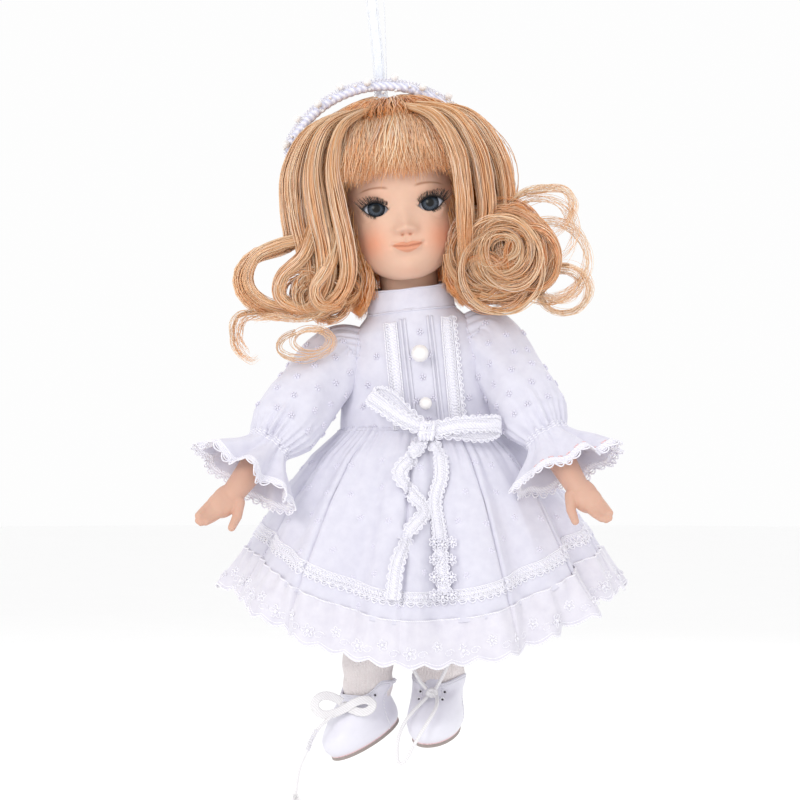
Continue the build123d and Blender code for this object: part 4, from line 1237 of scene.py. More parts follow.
def trim(line, across, width, pitch, picots=(1, -1), rail=0.20, picot=0.8, lift=0.25, out=None):
    """Braid along a line: rails, a zigzag between them, cross bars, and loops along its edges."""
    line, across = np.asarray(line, float), unit(np.asarray(across, float))
    total = length_of(line)
    count = max(3, int(round(total / pitch)))
    n = count * 14
    at = np.linspace(0, 1, len(line))
    s = np.linspace(0, 1, n)
    base = np.stack([np.interp(s, at, line[:, k]) for k in range(3)], 1)
    side = unit(np.stack([np.interp(s, at, across[:, k]) for k in range(3)], 1))
    up = facing(base, side, out)
    phase = s * count
    parts = []

    def thread(offset, raise_by, radius):
        path = base + side * offset[:, None] + up * (lift + raise_by)[:, None]
        parts.append(rod(path, radius))

    for x in (-0.5, 0.5):
        thread(np.full(n, x * width), 0.05 * np.sin(phase * 8 * math.pi), rail)
        thread(np.full(n, x * width * 0.72), 0.05 * np.sin(phase * 8 * math.pi + 2), rail * 0.8)
    tri = 2 * np.abs(2 * (phase % 1) - 1) - 1
    thread(0.42 * width * tri, 0.12 * np.cos(phase * 2 * math.pi), rail * 0.85)
    thread(-0.42 * width * tri, -0.12 * np.cos(phase * 2 * math.pi), rail * 0.85)
    for edge in picots:
        loop = np.abs(np.sin(math.pi * phase))
        path_off = edge * (0.5 * width + picot * loop**0.8)
        thread(path_off, 0.06 * np.sin(phase * 2 * math.pi), rail)
        thread(edge * (0.5 * width + 0.45 * picot * loop), 0.1 + 0 * phase, rail * 0.8)
    return join(*parts)


def tape(line, across, width, thick=0.25, cols=5, rise=0.0, out=None):
    """A flat woven band along a line, facing the way the line's trim faces."""
    line, across = np.asarray(line, float), unit(np.asarray(across, float))
    up = facing(line, across, out)
    xs = np.linspace(-0.5, 0.5, cols) * width
    front = [line + across * x + up * (thick + rise) for x in xs]
    back = [line + across * x + up * rise for x in xs[::-1]]
    return capped(np.stack(front + back, 1))


def flower(centre, right, up, out, size, petals=5, thread=0.15):
    """A small embroidered flower with looped petals and a raised middle."""
    a = np.linspace(0, 2 * math.pi, petals * 12 + 1)
    r = size * (0.35 + 0.65 * np.abs(np.sin(petals * a / 2)))
    ring = centre + right * (r * np.cos(a))[:, None] + up * (r * np.sin(a))[:, None] + out * 0.22
    parts = [rod(ring, thread)]
    parts.append(ball(centre + out * 0.2, (size * 0.34,) * 3, 6, 8))
    return join(*parts)


def tufts(spots, size):
    """Woven spots of five little knots each, as on fil coupe cotton. spots are (point, right, up, out)."""
    centres = []
    for p, right, up, out in spots:
        for k in range(5):
            a = 2 * math.pi * k / 5 + p[0]
            centres.append(p + right * size * math.cos(a) + up * size * math.sin(a) + out * 0.12)
        centres.append(p + out * 0.18)
    return balls(np.array(centres), (size * 0.55, size * 0.4, size * 0.55), None, 5, 7)


# ---------------------------------------------------------------- skirt, flounce and petticoat

SKIRT = np.array([(-132.6, 23.8, 15.0), (-134.5, 25.6, 16.1), (-141, 33.0, 20.0), (-154, 43.0, 26.5),
                  (-170, 53.0, 32.5),
                  (-186, 63.0, 37.5), (-203, 71.0, 41.5), (-212, 74.0, 43.5)])
SKIRT_X, HEM_R, HEM_LOW, FLOUNCE_H = 13.8, 93.0, -201.0, 12.5
SKIRT_TOP, GATHER_Z, PETTICOAT_TOP = -132.6, -134.0, -138.5


def skirt_ring(z):
    zs = SKIRT[::-1]
    return np.interp(z, zs[:, 0], zs[:, 1]), np.interp(z, zs[:, 0], zs[:, 2])


def hem_height(phi, rise):
    """Height of the hem's arc at an angle round the skirt, rise millimetres above its edge."""
    z = np.full_like(phi, HEM_LOW + rise)
    for _ in range(12):
        a, _b = skirt_ring(z)
        reach = np.clip((a + 1.0) * np.sin(phi), -88, 88)
        z = HEM_LOW + HEM_R - np.sqrt((HEM_R - rise) ** 2 - reach**2)
    return z


def skirt_folds(phi, z):
    """How far the cloth stands out of the plain cone: fine gathers at the waist, deep soft folds below."""
    depth = np.clip((-133.5 - z) / 55.0, 0, 1.2)
    fine = wobble(phi, 41, 7, 34, 70) * 0.42 * np.exp(-((depth / 0.20) ** 2))
    mid = wobble(phi, 43, 6, 17, 30) * 0.75 * step(0.0, 0.25, depth) * (1 - 0.55 * step(0.4, 1.0, depth))
    pleat = wobble(phi + 0.06 * np.sin(3 * phi) * depth, 47, 6, 9, 16)
    big = (pleat - 0.35 * np.abs(pleat)) * 2.7 * np.minimum(depth * 1.5, 1)
    ridge = wobble(phi + 0.03 * np.sin(2 * phi) * depth, 59, 4, 5, 9)
    crease = -1.25 * np.exp(-((ridge / 0.075) ** 2)) * step(0.03, 0.25, depth)
    crease = crease * (1 - 0.45 * step(0.7, 1.1, depth))
    return fine + mid + big + crease


def skirt_at(phi, z, off=0.0):
    """A point of the skirt's outside, off millimetres proud of it."""
    a, b = skirt_ring(z)
    d = skirt_folds(phi, z) + off
    return np.stack([SKIRT_X + (a + d) * np.sin(phi), -(b + d) * np.cos(phi), z + 0 * phi], -1)


def skirt_frame(phi, z, off=0.1):
    """Point, and unit vectors along the hem, up the cloth and out of it."""
    e = 0.004
    p = skirt_at(phi, z, off)
    right = unit(skirt_at(phi + e, z, off) - skirt_at(phi - e, z, off))
    up = unit(skirt_at(phi, z + 0.3, off) - skirt_at(phi, z - 0.3, off))
    return p, right, up, unit(np.cross(right, up))


def make_skirt():
    rows, cols = 110, 900
    phi = np.linspace(-math.pi, math.pi, cols, endpoint=False)
    low = hem_height(phi, FLOUNCE_H - 1.0)
    s = np.linspace(0, 1, rows)[:, None]
    z = SKIRT_TOP + (low[None] - SKIRT_TOP) * s
    points = skirt_at(np.broadcast_to(phi, z.shape), z)
    skirt = make("gathered_skirt", wrapped(points), COTTON, "doll",
                 WORLD, None, ["skirt"], thick=0.3)
    gather_line = skirt_at(phi, np.full(cols, GATHER_Z), 0.15)
    ring = np.vstack([gather_line, gather_line[:1]])
    seam = rod(ring + (0, 0, 0.15), 0.32, 6)
    make("waist_seam", seam, COTTON, "doll", WORLD, None, [])
    r = np.random.default_rng(5)
    spots = []
    for j in range(6):
        for k in range(30):
            a = 2 * math.pi * (k + 0.5 * (j % 2)) / 30 + r.normal(0, 0.03)
            z_here = -143.0 - 8.2 * j + r.normal(0, 1.0)
            if z_here > hem_height(np.array([a]), FLOUNCE_H + 1.5)[0]:
                spots.append([v[0] for v in skirt_frame(np.array([a]), np.array([z_here]))])
    make("skirt_woven_spots", tufts(spots, 0.75), SPOT, "doll", WORLD, None, [])


def make_skirt_braid():
    """The ladder braid sewn round above the flounce, with a scalloped lower edge."""
    phi = np.linspace(0, 2 * math.pi, 1400)
    height = hem_height(phi, FLOUNCE_H + 7.0)
    line, _, up, out = skirt_frame(phi, height, 0.15)
    braid = join(trim(line, -up, 2.9, 2.1, picots=(1,), rail=0.24, picot=1.4, lift=0.35, out=out[0]),
                 tape(line, up, 2.4, 0.2, 3, out=out[0]))
    make("skirt_ladder_braid", braid, LACE, "doll", WORLD, None, ["skirt_braid"])


def flounce_wave(phi, s):
    """Ripples of the flounce: none where it is sewn on, deep at its edge."""
    swing = 0.28 * np.sin(2 * phi) + 0.18 * np.sin(5 * phi + 1)
    ripple = wobble(phi + 0.02 * swing, 53, 6, 14, 28) * (0.35 + 3.6 * s**1.2)
    return ripple + 0.5 * np.sin(61 * phi) * (1 - s) ** 2


def flounce_at(phi, s, off=0.0):
    """A point of the flounce; s runs from its seam, 0, to its scalloped edge, 1."""
    top, low = hem_height(phi, FLOUNCE_H + 0.6), hem_height(phi, 0.6)
    a, b = skirt_ring(top + (low - top) * s)
    scallop = 0.9 * np.abs(np.sin(phi * 27)) ** 0.7 * step(0.85, 1.0, s)
    z = top + (low - top) * s - scallop
    d = flounce_wave(phi, s) + skirt_folds(phi, top) * (1 - 0.6 * s) + 0.5 + off
    lift = 0.35 * np.cos(phi * 27 * 2) * s
    return np.stack([SKIRT_X + (a + d) * np.sin(phi), -(b + d) * np.cos(phi), z + lift], -1)


def flounce_frame(phi, s):
    e = 0.003
    p = flounce_at(phi, s)
    right = unit(flounce_at(phi + e, s) - flounce_at(phi - e, s))
    up = unit(flounce_at(phi, s - 0.03) - flounce_at(phi, s + 0.03))
    return p, right, up, unit(np.cross(right, up))


def make_flounce():
    rows, cols = 46, 1500
    phi = np.linspace(-math.pi, math.pi, cols, endpoint=False)
    s = np.linspace(0, 1, rows)[:, None]
    points = flounce_at(np.broadcast_to(phi, (rows, cols)), np.broadcast_to(s, (rows, cols)))
    flounce = make("lace_flounce", wrapped(points), ORGANZA, "doll",
                   WORLD, None, ["hem_flounce"], thick=0.22)
    lines = []
    ring = np.linspace(0, 2 * math.pi, 4200)
    for s_at, radius in ((1.0, 0.30), (0.945, 0.17)):
        path = flounce_at(ring, np.full_like(ring, s_at), 0.15)
        lines.append(rod(path, radius, 6))
    seam = flounce_at(ring, np.full_like(ring, 0.02), 0.25)
    lines.append(rod(seam, 0.24))
    rim = make("flounce_scalloped_rim", join(*lines), STITCH, "doll", WORLD, None, [])
    motifs = []
    for k in range(54):
        a = 2 * math.pi * (k + 0.5) / 54
        p, right, up, out = (v[0] for v in flounce_frame(np.array([a]), np.array([0.74 if k % 2 else 0.60])))
        motifs.append(flower(p, right, up, out, 2.0 if k % 2 else 1.6, 5, 0.2))
        leaf, right, up, out = (v[0] for v in flounce_frame(np.array([a + 0.05]), np.array([0.80])))
        t = np.linspace(0, 1, 22)
        curl = leaf + right * (1.7 * np.cos(2.2 * t * math.pi) * (1 - 0.6 * t))[:, None]
        curl = curl + up * (1.2 * np.sin(2.2 * t * math.pi) * (1 - 0.6 * t))[:, None] + out * 0.2
        motifs.append(rod(curl, 0.15))
    motifs = make("flounce_embroidery", join(*motifs), STITCH, "doll", WORLD, None, [])


def make_petticoat():
    rows, cols = 60, 420
    phi = np.linspace(-math.pi, math.pi, cols, endpoint=False)
    low = hem_height(phi, 4.5)
    s = np.linspace(0, 1, rows)[:, None]
    z = PETTICOAT_TOP + (low[None] - PETTICOAT_TOP) * s
    a, b = skirt_ring(z)
    d = -3.4 + 0.45 * skirt_folds(np.broadcast_to(phi, z.shape), z)
    points = np.stack([SKIRT_X + (a + d) * np.sin(phi), -(b + d) * np.cos(phi), z], -1)
    coat = make("petticoat_cloth", wrapped(points), LINING, "doll",
                WORLD, None, ["petticoat"], thick=0.25)


# ---------------------------------------------------------------- bodice, collar, plackets and buttons

BODICE = np.array([(-4.6, 23.2, 14.0), (-1.2, 24.2, 14.9), (0.0, 24.5, 15.1), (7.0, 24.3, 15.5),
                   (16.0, 23.5, 15.5), (24.0, 22.3, 14.9),
                   (31.0, 18.6, 13.9), (36.0, 13.3, 12.6), (37.0, 13.0, 12.5)])
BODICE_LOW, BODICE_TOP = BODICE[0, 0], BODICE[-1, 0]
FRONT_U = 1.6


def bodice_at(phi, w, off=0.0):
    a = np.interp(w, BODICE[:, 0], BODICE[:, 1])
    b = np.interp(w, BODICE[:, 0], BODICE[:, 2])
    tuck = 0.28 * wobble(phi, 61, 5, 5, 13) * step(20, 2, w)
    tuck = tuck + 0.35 * wobble(phi, 67, 5, 16, 34) * np.exp(-((w / 4.0) ** 2))
    drape = 0.22 * np.sin(0.55 * w + 3 * np.sin(2 * phi)) * step(0.25, 0.8, np.abs(np.sin(phi)))
    # room over the doll's left hip, where the body leans
    ease = 1.5 * np.exp(-(((w + 1.0) / 4.0) ** 2)) * step(0.1, 0.8, np.sin(phi))
    d = tuck + drape + ease + off
    return np.stack([(a + d) * np.sin(phi) + 0.016 * w, -(b + d) * np.cos(phi) + 0.016 * w, w + 0 * phi], -1)


def bodice_phi(u, w):
    """The angle round the bodice of a point on its front."""
    a = np.interp(w, BODICE[:, 0], BODICE[:, 1])
    return np.arcsin(np.clip((u - 0.016 * w) / a, -0.99, 0.99))


def bodice_frame(u, w, off=0.1):
    u, w = np.broadcast_arrays(np.asarray(u, float), np.asarray(w, float))
    phi = bodice_phi(u, w)
    e = 0.01
    p = bodice_at(phi, w, off)
    right = unit(bodice_at(phi + e, w, off) - bodice_at(phi - e, w, off))
    up = unit(bodice_at(phi, w + 0.2, off) - bodice_at(phi, w - 0.2, off))
    return p, right, up, unit(np.cross(right, up))


def make_bodice():
    rows, cols = 90, 420
    phi = np.linspace(-math.pi, math.pi, cols, endpoint=False)
    w = np.linspace(BODICE_LOW, BODICE_TOP, rows)[:, None] * np.ones(cols)
    points = bodice_at(np.broadcast_to(phi, w.shape), w)
    bodice = make("fitted_bodice", wrapped(points), COTTON, "doll",
                  UPPER, None, ["bodice"], thick=0.3)
    r = np.random.default_rng(8)
    spots = []
    for j in range(5):
        for k in range(9):
            u = FRONT_U + (k - 4 + 0.5 * (j % 2)) * 5.2 + r.normal(0, 0.3)
            w_here = 3.0 + 6.6 * j + r.normal(0, 0.4)
            if abs(u) < 20 - 0.25 * w_here and abs(abs(u - FRONT_U) - 8.3) > 3.6:
                spots.append(bodice_frame(u, w_here))
    make("bodice_woven_spots", tufts(spots, 0.7), SPOT, "doll", UPPER, None, [])
    tucks = []
    for u in (-4.6, -3.4, 3.4, 4.6):
        p, right, _, _ = bodice_frame(np.full(60, FRONT_U + u), np.linspace(0, 34, 60), 0.12)
        tucks.append(tape(p, right, 0.7, 0.22, 3))
    make("bodice_pin_tucks", join(*tucks), COTTON, "doll", UPPER, None, [])


def make_collar():
    """A low standing collar with a soft roll, a neck seam and a narrow facing."""
    rows, cols = 40, 200
    phi = around(cols)
    t = np.linspace(0, 1, rows)[:, None]
    fold = 0.10 * wobble(phi, 71, 5, 6, 18)[None]
    a = 13.1 - 0.9 * t + 0.35 * np.sin(math.pi * t) + fold
    b = 12.5 - 0.9 * t + 0.35 * np.sin(math.pi * t) + fold
    top = 43.9 - 1.0 * np.cos(phi) + 0.12 * wobble(phi, 73, 4, 3, 9)
    w = 35.6 + (top[None] - 35.6) * t
    p = np.stack([0.7 + a * np.sin(phi), 0.6 - b * np.cos(phi), w], -1)
    make("standing_collar", wrapped(p), COTTON, "doll", UPPER,
         None, ["collar"], thick=0.7)
    ring = np.linspace(0, 2 * math.pi, 200)
    lines = []
    for w_at, r, k in ((36.3, 0.30, 13.25), (43.6, 0.26, 12.35)):
        path = np.stack([0.7 + k * np.sin(ring), 0.6 - (k - 0.6) * np.cos(ring), np.full(200, w_at)], 1)
        path[:, 2] -= (1.0 * np.cos(ring)) if w_at > 40 else 0
        lines.append(rod(path, r, 6))
    make("collar_seams", join(*lines), COTTON, "doll", UPPER, None, [])


def make_plackets():
    """Braid down each side of the buttons; the doll's left one has loops along one edge."""
    for side, sign in SIDES.items():
        w = np.linspace(33.2, 1.6, 240)
        line, right, _, _ = bodice_frame(np.full(240, FRONT_U + sign * 8.3) + 0.02 * w, w, 0.12)
        braid = trim(line, right * sign, 3.9, 2.0, picots=(1,) if sign > 0 else (), rail=0.22, picot=1.2,
                     lift=0.32)
        make(f"{side}_placket_lace", join(braid, tape(line, right, 3.5, 0.22, 3)), LACE, "doll", UPPER, None,
             [f"{side}_placket_braid"])
    stitches = []
    for w in (23.2, 8.4):
        for k in range(4):
            a = math.pi / 2 * k + 0.7
            stitches.append(bodice_frame(FRONT_U + 0.5 * math.cos(a), w + 0.5 * math.sin(a), 0.2)[0])
    knots = balls(np.array(stitches), (0.35, 0.5, 0.35), None, 6, 8)
    make("button_shank_stitches", knots, LACE, "doll", UPPER, None, [])


# ---------------------------------------------------------------- the lace ribbon tied at the waist


def ribbon_lace(line, across, width, picots=(1, -1)):
    return join(trim(line, across, width * 0.62, 1.9, picots=picots, rail=0.2, picot=width * 0.19, lift=0.3),
                tape(line, across, width * 0.60, 0.22, 3))


def make_bow():
    """Knot, two flattened loops and two tails of braid, hanging in front of the skirt."""
    knot = np.array([14.8, -20.2, -133.5])
    loops = []
    for angle, length, rise in ((146.0, 17.5, 1.2), (3.0, 19.5, 0.6)):
        a = math.radians(angle)
        along = np.array([math.cos(a), 0, math.sin(a)])
        side = np.array([-math.sin(a), 0, math.cos(a)])
        t = np.linspace(0, 1, 90)
        for half, out in ((1, -1.3), (-1, 0.9)):
            reach = 2.0 + length * np.sin(t * math.pi / 2)
            bulge = out * np.sin(t * math.pi) * 1.0
            spread = half * 1.5 * np.sin(t * math.pi) + 0.25 * np.sin(9 * t)
            line = knot + along * reach[:, None] + side * spread[:, None]
            line = line + np.array([0, 1, 0]) * (bulge + 0.9 * t * rise)[:, None]
            loops.append(ribbon_lace(line, np.repeat(side[None], 90, 0), 5.2))
    make("bow_lace_loops", join(*loops), LACE, "doll", WORLD, None, ["bow_loops"])
    wraps = []
    for k in range(4):
        a = np.linspace(0, 2 * math.pi, 40)
        ring = np.stack([knot[0] + (k - 1.5) * 1.1 + 0.3 * np.sin(a), knot[1] - 1.7 * np.cos(a),
                         knot[2] + 2.5 * np.sin(a)], 1)
        wraps.append(rod(ring, 0.62, 8))
    wraps.append(ball(knot, (2.5, 1.5, 2.3)))
    side = unit(np.array([0.2, 0, 1.0]))
    t = np.linspace(0, 1, 30)
    over = knot + np.stack([4.6 * (t - 0.5), -2.1 * np.sin(math.pi * t) - 0.2, 0.8 * np.sin(3 * t)], 1)
    wraps.append(trim(over, np.repeat(side[None], 30, 0), 2.4, 1.6, rail=0.2, picot=0.6))
    make("bow_lace_knot", join(*wraps), LACE, "doll", WORLD, None, ["bow_knot"])
    tails = []
    routes = (
        ([(13.6, -136.0), (10.6, -141.0), (7.2, -146.2), (11.0, -152.4), (14.2, -156.6), (9.6, -163.0),
          (6.6, -171.0), (5.2, -182.0)], 4.6),
        ([(15.6, -136.0), (18.6, -142.0), (18.9, -147.2), (17.2, -153.4), (18.2, -160.6), (18.8, -166.0),
          (19.4, -173.0), (20.2, -181.0)], 4.4),
    )
    for points, width in routes:
        flat = spline([(x, 0, z) for x, z in points], 160)
        phi = np.arcsin((flat[:, 0] - SKIRT_X) / skirt_ring(flat[:, 2])[0])
        line, _, _, out = skirt_frame(phi, flat[:, 2], 1.6)
        line = line + out * (0.5 * np.sin(np.linspace(0, 9, 160)))[:, None]
        along = unit(np.gradient(line, axis=0))
        across = unit(np.cross(out, along))
        tails.append(ribbon_lace(line, across, width))
    x_at = np.linspace(-1, 1, 3)
    for k, z in enumerate((-166.5, -171.5, -176.5, -181.5)):
        for x in x_at:
            phi = np.arcsin((19.4 + 2.7 * x - SKIRT_X) / skirt_ring(z)[0])
            spot = skirt_frame(np.array([phi]), np.array([z + 0.8 * abs(x)]), 2.4)
            tails.append(flower(*(v[0] for v in spot), 1.7, 6, 0.17))
    make("bow_lace_tails", join(*tails), LACE, "doll", WORLD, None, ["bow_tails"])


make_skirt()
make_skirt_braid()
make_flounce()
make_petticoat()
make_bodice()
make_collar()
make_plackets()
make_bow()


# ---------------------------------------------------------------- arms


def tube_along(path, radii, cols, relief_at):
    """A tube with its own relief: radii is (rows, 2) half sizes, relief_at gives (rows, cols) millimetres."""
    rows = len(path)
    a = around(cols)
    t = unit(np.gradient(path, axis=0))
    front = np.array([0.0, -1.0, 0.0])
    n = unit(front - (t @ front)[:, None] * t)
    b = np.cross(t, n)
    d = relief_at(np.linspace(0, 1, rows)[:, None], a[None])
    x = (radii[:, 0:1] + d) * np.sin(a)
    y = (radii[:, 1:2] + d) * np.cos(a)
    points = path[:, None] + b[:, None] * x[..., None] + n[:, None] * y[..., None]
    return points, t


def sleeve_path(side):
    sign, place = SIDES[side], arm_place(side)
    across, up = UPPER.turn @ (sign, 0, 0), UPPER.turn @ (0, 0, 1)
    top = joint_at(f"{side}_shoulder")
    points = [top - across * 6.0 - up * 1.4, top - across * 0.6 - up * 0.7, place((0, 0, -6.5)),
              place((0, 0, -14)),
              place((0, 0, -24)), place((0, 0, -33)), place((0, 0, -38.8))]
    return even(spline(points, 300), 150)


def sleeve_relief(side):
    seed = 80 + 10 * SIDES[side]

    def relief_at(s, a):
        out = 0.45 * wobble(a, seed, 7, 18, 34) * np.exp(-((s / 0.16) ** 2))
        puff = np.sin(math.pi * np.clip(s * 1.05, 0, 1)) ** 0.7
        out = out + 0.75 * wobble(a + 0.9 * s, seed + 1, 5, 3, 8) * puff
        out = out + 0.42 * np.sin(11 * s + 2.0 * np.sin(2 * a + seed)) * np.sin(math.pi * s) ** 0.5 * 0.8
        end = np.exp(-(((1 - s) / 0.20) ** 2))
        return out + (0.75 * wobble(a, seed + 3, 7, 14, 26) - 0.1) * end

    return relief_at


def make_sleeve(side):
    path = sleeve_path(side)
    s = np.linspace(0, 1, len(path))
    shares = [0, 0.10, 0.22, 0.45, 0.64, 0.84, 0.94, 1.0]
    wide = np.interp(s, shares, [8.4, 9.2, 9.9, 10.0, 10.6, 9.8, 7.8, 6.2])
    deep = np.interp(s, shares, [8.8, 9.4, 9.6, 9.3, 9.6, 8.9, 7.2, 5.8])
    cols = 260
    points, _ = tube_along(path, np.stack([wide, deep], 1), cols, sleeve_relief(side))
    place = arm_place(side)
    start, end = place((0, 0, -22)) * MM, place((0, 0, -36)) * MM
    sleeve = make(f"{side}_puffed_sleeve", wrapped(points),
                  COTTON, None, WORLD, None, [f"{side}_sleeve"], thick=0.3)
    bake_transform(sleeve)
    spots = []
    r = np.random.default_rng(31)
    centre = path[:, None]
    for row in range(22, 132, 20):
        for k in range(9):
            col = int((k + 0.5 * ((row // 20) % 2)) * cols / 9 + r.integers(-6, 6)) % cols
            p = points[row, col]
            out = unit(p - centre[row, 0])
            right = unit(points[row, (col + 2) % cols] - points[row, col - 2])
            spots.append((p + out * 0.1, right, np.cross(out, right), out))
    motif = make(f"{side}_sleeve_spots", tufts(spots, 0.7), SPOT, None, WORLD, None, [])
    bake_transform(motif)
    seam = np.vstack([points[3], points[3][:1]])
    make(f"{side}_armhole_seam", rod(seam, 0.3, 6), COTTON, f"{side}_arm", WORLD,
         None, [])


CUFF = np.array([(37.4, 6.4, 5.8), (38.6, 6.1, 5.5), (40.2, 6.3, 5.5), (43.0, 8.2, 5.9), (46.5, 11.8, 6.5),
                 (50.2, 15.0, 7.6)])
CUFF_TILT = {"left": 0.16, "right": 0.05}


def cuff_at(side, t, a, off=0.0):
    """A point of the ruffle in the arm's frame: t runs down the arm and a round it from the front."""
    seed = 140 + SIDES[side]
    s = np.clip((t - 38.6) / 11.6, 0, 1)
    ripple = (0.25 + 1.75 * s**1.2) * wobble(a + 0.15 * s, seed, 5, 7, 11)
    ripple = ripple + 0.35 * np.cos(23 * a) * (1 - s) ** 3
    x = (np.interp(t, CUFF[:, 0], CUFF[:, 1]) + ripple + off) * np.sin(a)
    y = -(np.interp(t, CUFF[:, 0], CUFF[:, 2]) + ripple + off) * np.cos(a)
    drop = t + s * (CUFF_TILT[side] * SIDES[side] * x + 0.5 * np.sin(9 * a))
    return np.stack([x, y, -drop], -1)


def make_cuff(side):
    place = arm_place(side)
    rows, cols = 54, 540
    a = around(cols)
    t = np.linspace(37.4, 50.2, rows)[:, None]
    t, a2 = np.broadcast_arrays(t, a[None])
    cuff = make(f"{side}_ruffled_cuff", wrapped(cuff_at(side, t, a2)), COTTON, f"{side}_hand", place, None,
                [f"{side}_cuff"], thick=0.28)
    ring = np.linspace(0, 2 * math.pi, 700)
    edge = cuff_at(side, np.full(700, 50.0), ring, 0.1)
    along = unit(cuff_at(side, np.full(700, 50.2), ring, 0.1) - cuff_at(side, np.full(700, 48.8), ring, 0.1))
    outward = np.array([0.0, -1.0, 0.0])
    lace = trim(edge + along * 0.9, along, 1.7, 2.4, picots=(1,), rail=0.24, picot=1.6, lift=0.15,
                out=outward)
    base = tape(edge + along * 0.8, along, 1.4, 0.2, 3, out=outward)
    lace = make(f"{side}_cuff_lace_edge", join(lace, base), LACE, f"{side}_hand", place, None,
                [f"{side}_cuff_lace"])
    threads = []
    for t_at in (38.2, 38.9, 39.7):
        path = cuff_at(side, np.full(700, t_at), ring, 0.28)
        threads.append(rod(path, 0.16))
    threads = make(f"{side}_shirring_threads", join(*threads), STITCH, f"{side}_hand", place, None, [])
    if side == "left":
        starts, long = np.arange(-0.55, 1.15, 0.17), 0.085
        dashes = [cuff_at(side, np.full(12, 49.6), np.linspace(a, a + long, 12), 0.40) for a in starts]
        basting = tube_mesh(np.array(dashes), np.full((len(dashes), 12), 0.24), 6)
        make("left_cuff_basting", basting, PINK, "left_hand", place, None, [])


def capsule_between(a, b, ra, rb, cols=20):
    """A tapered rod with round ends."""
    a, b = np.array(a, float), np.array(b, float)
    t = unit(b - a)
    out = np.linspace(0, math.pi / 2, 6)
    spots = [a - t * ra * math.cos(x) for x in out] + [b + t * rb * math.sin(x) for x in out]
    sizes = [max(ra * math.sin(x), 0.02) for x in out] + [max(rb * math.cos(x), 0.02) for x in out]
    return tube_mesh(np.array(spots)[None], np.array(sizes)[None], cols)


def make_hand(side):
    """Bisque forearm and hand: a mitt with grooved fingers and a free thumb on the body's side."""
    place, inner = arm_place(side), -SIDES[side]
    arm = capsule_between((0, 0, -31), (0, 0, -46), 4.5, 4.4)
    wrist = capsule_between((0, 0, -44), (0.2 * inner, -0.1, -58.5), 4.45, 3.35)
    palm = ball((-0.2 * inner, -0.2, -61.5), (4.1, 2.45, 6.0), 24, 30)
    back = ball((-1.1 * inner, -0.6, -64.0), (3.4, 2.2, 4.6), 20, 26)
    parts = [arm, wrist, palm, back]
    for root, tip, long in ((0.9, 0.2, 6.6), (-0.45, -0.75, 7.6), (-1.8, -1.7, 7.6), (-3.1, -2.6, 6.4)):
        base = (inner * root, -0.7, -65.2)
        mid = (inner * (root + tip) / 2 - inner * 0.6, -1.6, -65.2 - long * 0.55)
        end = (inner * tip - inner * 1.1, -3.0, -65.2 - long)
        parts.append(capsule_between(base, mid, 1.35, 1.25))
        parts.append(capsule_between(mid, end, 1.25, 1.1))
    parts.append(capsule_between((inner * 3.2, -0.9, -59.5), (inner * 5.3, -1.8, -64.0), 1.75, 1.45))
    parts.append(capsule_between((inner * 5.3, -1.8, -64.0), (inner * 6.0, -2.7, -68.2), 1.42, 1.15))
    hand = make(f"{side}_bisque_hand", join(*parts), BISQUE_PLAIN, None, place, None, [f"{side}_forearm"])
    remesh = hand.modifiers.new("union", "REMESH")
    remesh.mode, remesh.voxel_size, remesh.use_smooth_shade = "VOXEL", 0.26 * MM, True
    soft = hand.modifiers.new("soften", "SMOOTH")
    soft.iterations, soft.factor = 5, 0.5
    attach(hand, f"{side}_hand")


for arm_side in SIDES:
    make_sleeve(arm_side)
    make_cuff(arm_side)
    make_hand(arm_side)


# ---------------------------------------------------------------- socks, shoes and laces


def make_sock(side):
    """Knitted sock: a turned welt, fine ribs and soft rumples down to the shoe."""
    x = joint_at(f"{side}_hip")[0]
    rows, cols = 260, 360
    a = around(cols)
    s = np.linspace(0, 1, rows)[:, None]
    top, low = -192.6, ANKLE_Z[side] - 1.5
    z = top + (low - top) * s
    r = 7.1 - 0.3 * s - 0.7 * step(0.7, 1.0, s) + 0.35 * step(0.055, 0.03, s)
    ribs = 0.14 * np.cos(46 * a)[None] * np.ones_like(s)
    ribs = ribs + 0.09 * np.cos(2 * math.pi * 34 * s) * np.sin(46 * a)[None]
    rumple = 0.24 * np.sin(19 * s + 1.4 * np.sin(2 * a)[None] + 1.1 * SIDES[side]) * step(0.1, 0.5, s)
    r = r + ribs + rumple
    p = np.stack([x + r * np.sin(a), -r * np.cos(a), z + 0.25 * np.sin(a)[None] * np.ones_like(s)], -1)
    body = f"{side}_leg"
    sock = make(f"{side}_knit_sock", wrapped(p), SOCK, body, WORLD,
                None, [f"{side}_sock"], thick=0.45)
    inner = foot_place(side)
    foot = ball((0, -5.6, -3.2), (6.2, 10.8, 5.0), 22, 30)
    ankle = ball((0, 0.0, -0.6), (6.1, 6.2, 6.2), 22, 30)
    make(f"{side}_sock_foot", join(foot, ankle), SOCK, body, inner, None, [])


SHOE_COLS = 180


def shoe_ring(a, b, centre, z):
    q = around(SHOE_COLS)
    return np.stack([a * np.sin(q), centre - b * np.cos(q), np.full(SHOE_COLS, z)], 1)


def shoe_opening(side, reach, lift):
    """The level rim round the ankle, dipping at the front, in the foot's frame."""
    q = around(SHOE_COLS)
    dip = 2.6 * np.clip(np.cos(q), 0, 1) ** 2 if side == "left" else 4.3 * step(0.1, 0.8, np.cos(q))
    level = np.stack([reach * np.sin(q), 0.2 - reach * np.cos(q) * 1.06, lift - dip + 0 * q], 1)
    place = foot_place(side)
    turned = level @ turn_z(FOOT_YAW[side]).T
    return turned @ place.turn


